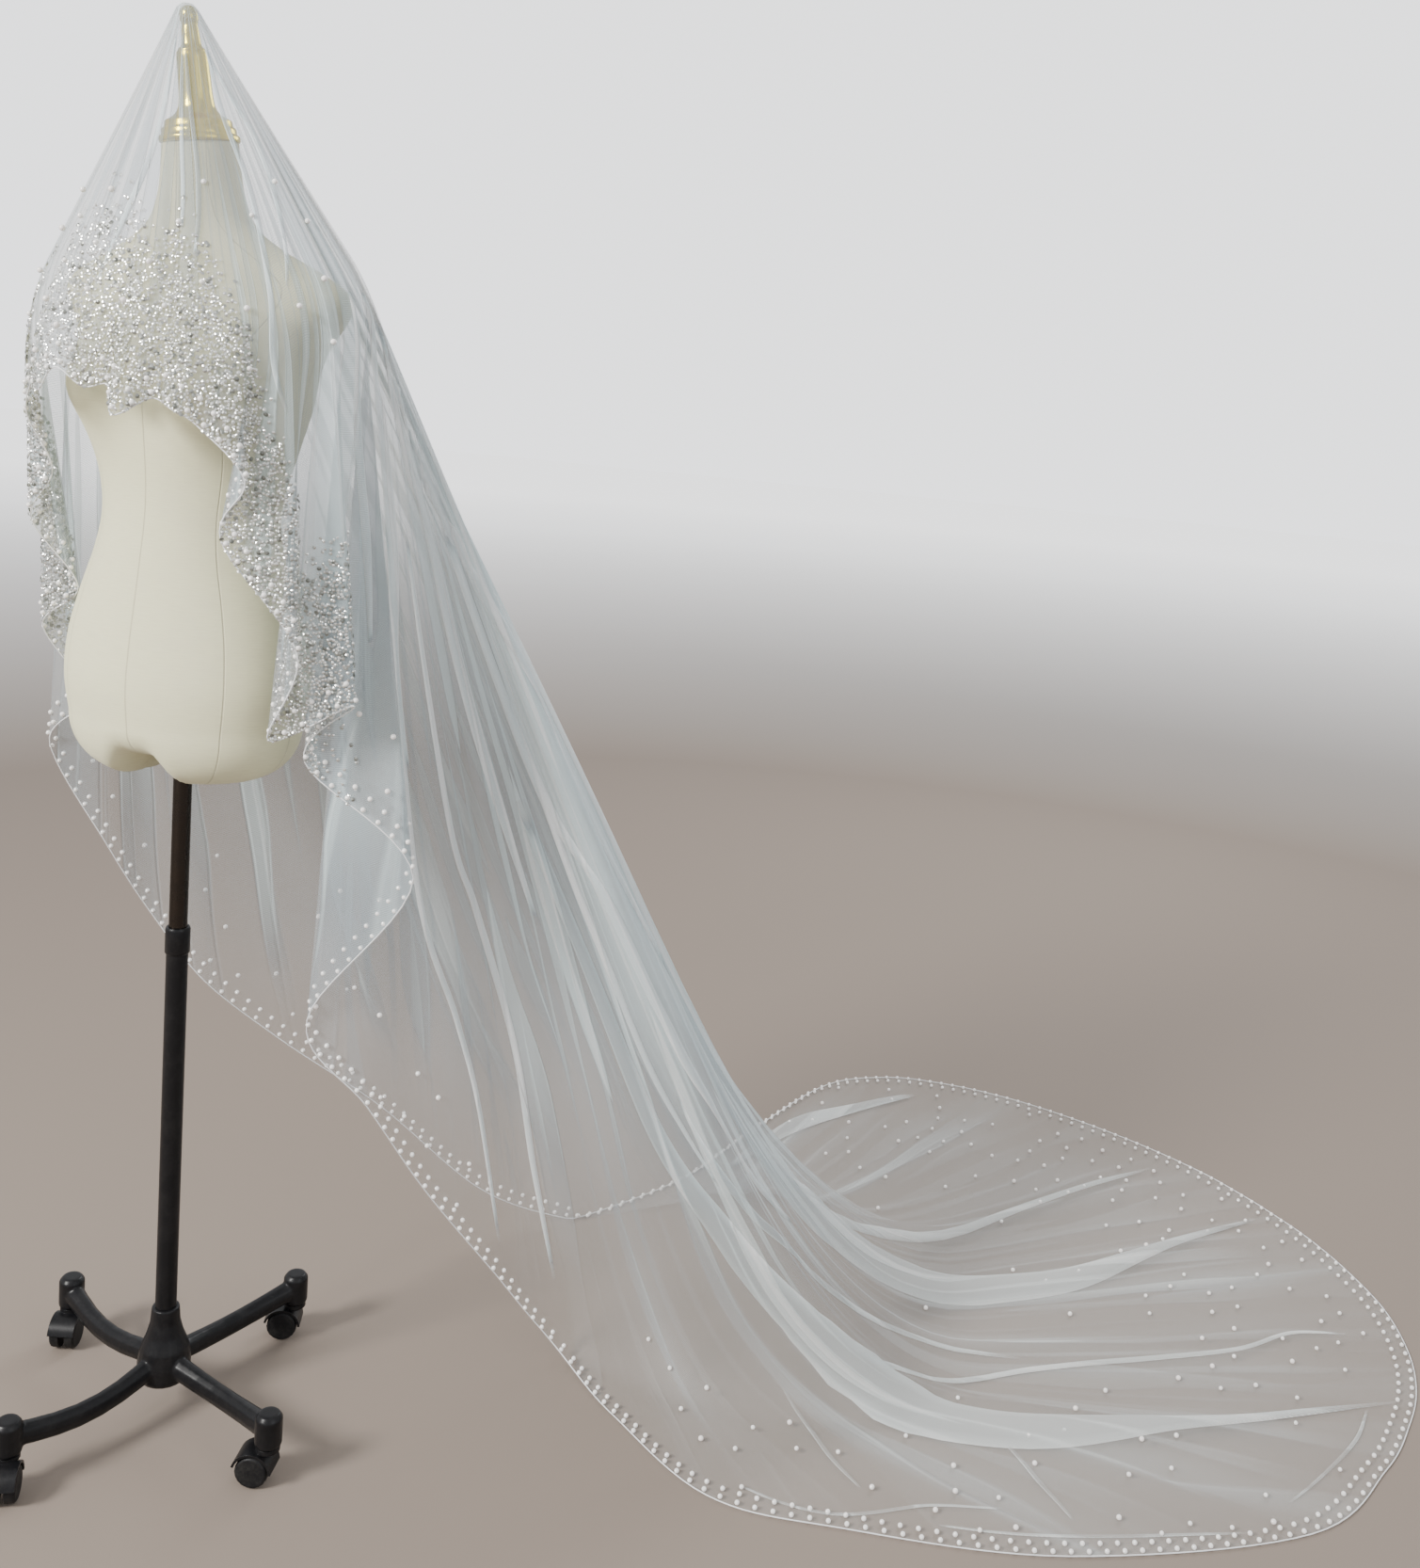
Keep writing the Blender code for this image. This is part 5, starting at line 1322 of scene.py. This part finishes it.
rod, sleeve, fit = pole["rodRadius"], pole["sleeveRadius"], pole["fit"]
rodLow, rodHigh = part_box("inner_tube")
collar = sleeve + pole["collarRise"]
top, low = tubeHigh[2], tubeLow[2]
innerProfile = ((rod, rodLow[2]), (rod, rodHigh[2]))
outerProfile = (
    (rod + fit, low + 0.001), (sleeve - 0.0004, low), (sleeve, low + 0.0004),
    (sleeve, top - 0.0340), (collar - 0.0003, top - 0.0325), (collar, top - 0.0320),
    (collar, top - 0.0030), (collar - 0.0004, top - 0.0016), (sleeve + 0.0006, top),
    (rod + fit, top), (rod + fit, rodLow[2] - fit))
for name, profile, look, slot, node in (
        ("innerTube", innerProfile, chromeLook, "tube_chrome", "inner_tube"),
        ("outerTube", outerProfile, blackLook, "stand_black", "outer_tube")):
    tube = turnedPiece(name, profile, pole["sides"], Matrix.Translation(polePlace))
    placePiece(give(tube, look), mainBody, slot, node)
placePiece(give(castBase(), blackLook), mainBody, "stand_black", "stand_base")
for number in (1, 2, 3, 4):
    for node, name, look, body, slot in (
            ("caster_fork", "casterFork", blackLook, "fork", "stand_black"),
            ("caster_wheels", "casterWheels", treadLook, "wheels", "wheel_black")):
        piece = give(dressedCopy(f"{node}_{number}", f"{name}{number}"), look)
        placePiece(piece, f"{body}_{number}", slot, f"{node}_{number}")
print("stand made")

# floor, light and camera

studio = dict(
    nearColor=(0.24, 0.195, 0.16), farColor=(0.92, 0.92, 0.92), nearReach=3.5, farReach=14.0,
    floorSize=60.0, floorDrop=0.0012, world=(0.97, 0.98, 1.0), worldStrength=0.98, backdrop=2.2,
    camera=(1.147, -1.468, 1.308), yaw=18.64, pitch=8.5, roll=4.82, lens=34.57, shiftY=-0.09,
    aim=(0.45, 0.25, 0.8),
    lights=(("keySoft", (-1.8, -3.4, 3.0), 1.2, 320.0, (1.0, 0.98, 0.95)),
            ("fillSoft", (4.4, -1.6, 2.4), 2.4, 30.0, (0.94, 0.97, 1.0)),
            ("rimSoft", (1.2, 4.2, 3.0), 2.0, 90.0, (0.96, 0.98, 1.0)),
            ("sparkle", (-0.4, -2.2, 2.6), 0.25, 10.0, (1.0, 1.0, 1.0))))


def studioFloor():
    # warm floor that lightens away from the object until it meets the backdrop
    half, drop = studio["floorSize"] / 2, -studio["floorDrop"]
    corners = [(x * half, y * half, drop) for x, y in ((-1, -1), (1, -1), (1, 1), (-1, 1))]
    floor = meshPiece("paleFloor", corners, [(0, 1, 2, 3)], smooth=False)
    near, far = studio["nearReach"], studio["farReach"]
    material, tree, shader, calc = newMaterial("paleFloor", dict(color=studio["nearColor"],
                                                                 roughness=0.9))
    away = addNode(tree, "ShaderNodeVectorMath", {0: objectPlace(tree)},
                   operation="LENGTH")["Value"]
    seen = addNode(tree, "ShaderNodeLightPath", {})["Is Camera Ray"]
    glow = calc("MULTIPLY", rangeNode(tree, away, near, far * 1.4), seen)
    connect(tree, shader, {
        "Base Color": colorMix(tree, rangeNode(tree, away, near, far), studio["nearColor"],
                               studio["farColor"]),
        "Emission Color": colorMix(tree, glow, (0.0, 0.0, 0.0), (1.0, 1.0, 1.0)),
        "Emission Strength": studio["backdrop"] - 1.0})
    return give(floor, material)


def softLight(name, place, size, power, color):
    data = setAll(bpy.data.lights.new(name, "AREA"), shape="DISK", size=size, energy=power,
                  color=color)
    light = linkObject(bpy.data.objects.new(name, data))
    light.location = Vector(place) + polePlace
    aim = Vector(studio["aim"]) + polePlace - light.location
    light.rotation_euler = aim.to_track_quat("-Z", "Y").to_euler()


def photoCamera():
    data = setAll(bpy.data.cameras.new("photoCamera"), sensor_width=36.0, sensor_fit="AUTO",
                  lens=studio["lens"], shift_y=studio["shiftY"])
    yaw, pitch, roll = (math.radians(studio[key]) for key in ("yaw", "pitch", "roll"))
    forward = Vector((-math.sin(yaw) * math.cos(pitch), math.cos(yaw) * math.cos(pitch),
                      -math.sin(pitch)))
    right = Vector((math.cos(yaw), math.sin(yaw), 0))
    up = right.cross(forward)
    rightRolled = right * math.cos(roll) + up * math.sin(roll)
    upRolled = up * math.cos(roll) - right * math.sin(roll)
    camera = linkObject(bpy.data.objects.new("photoCamera", data))
    turn = Matrix((rightRolled, upRolled, -forward)).transposed().to_4x4()
    camera.matrix_world = Matrix.Translation(Vector(studio["camera"]) + polePlace) @ turn
    return camera


def paleWorld():
    # the camera sees a bright backdrop, and the light that falls on the object is softer
    world = bpy.data.worlds.new("paleRoom")
    world.use_nodes = True
    tree = world.node_tree
    seen = addNode(tree, "ShaderNodeLightPath", {})["Is Camera Ray"]
    strength = rangeNode(tree, seen, 0.0, 1.0, studio["worldStrength"], studio["backdrop"])
    connect(tree, tree.nodes["Background"].inputs, {
        "Color": (*studio["world"], 1.0), "Strength": strength})
    return world


studioFloor()
for settings in studio["lights"]:
    softLight(*settings)
bpy.context.scene.world = paleWorld()
bpy.context.scene.camera = photoCamera()
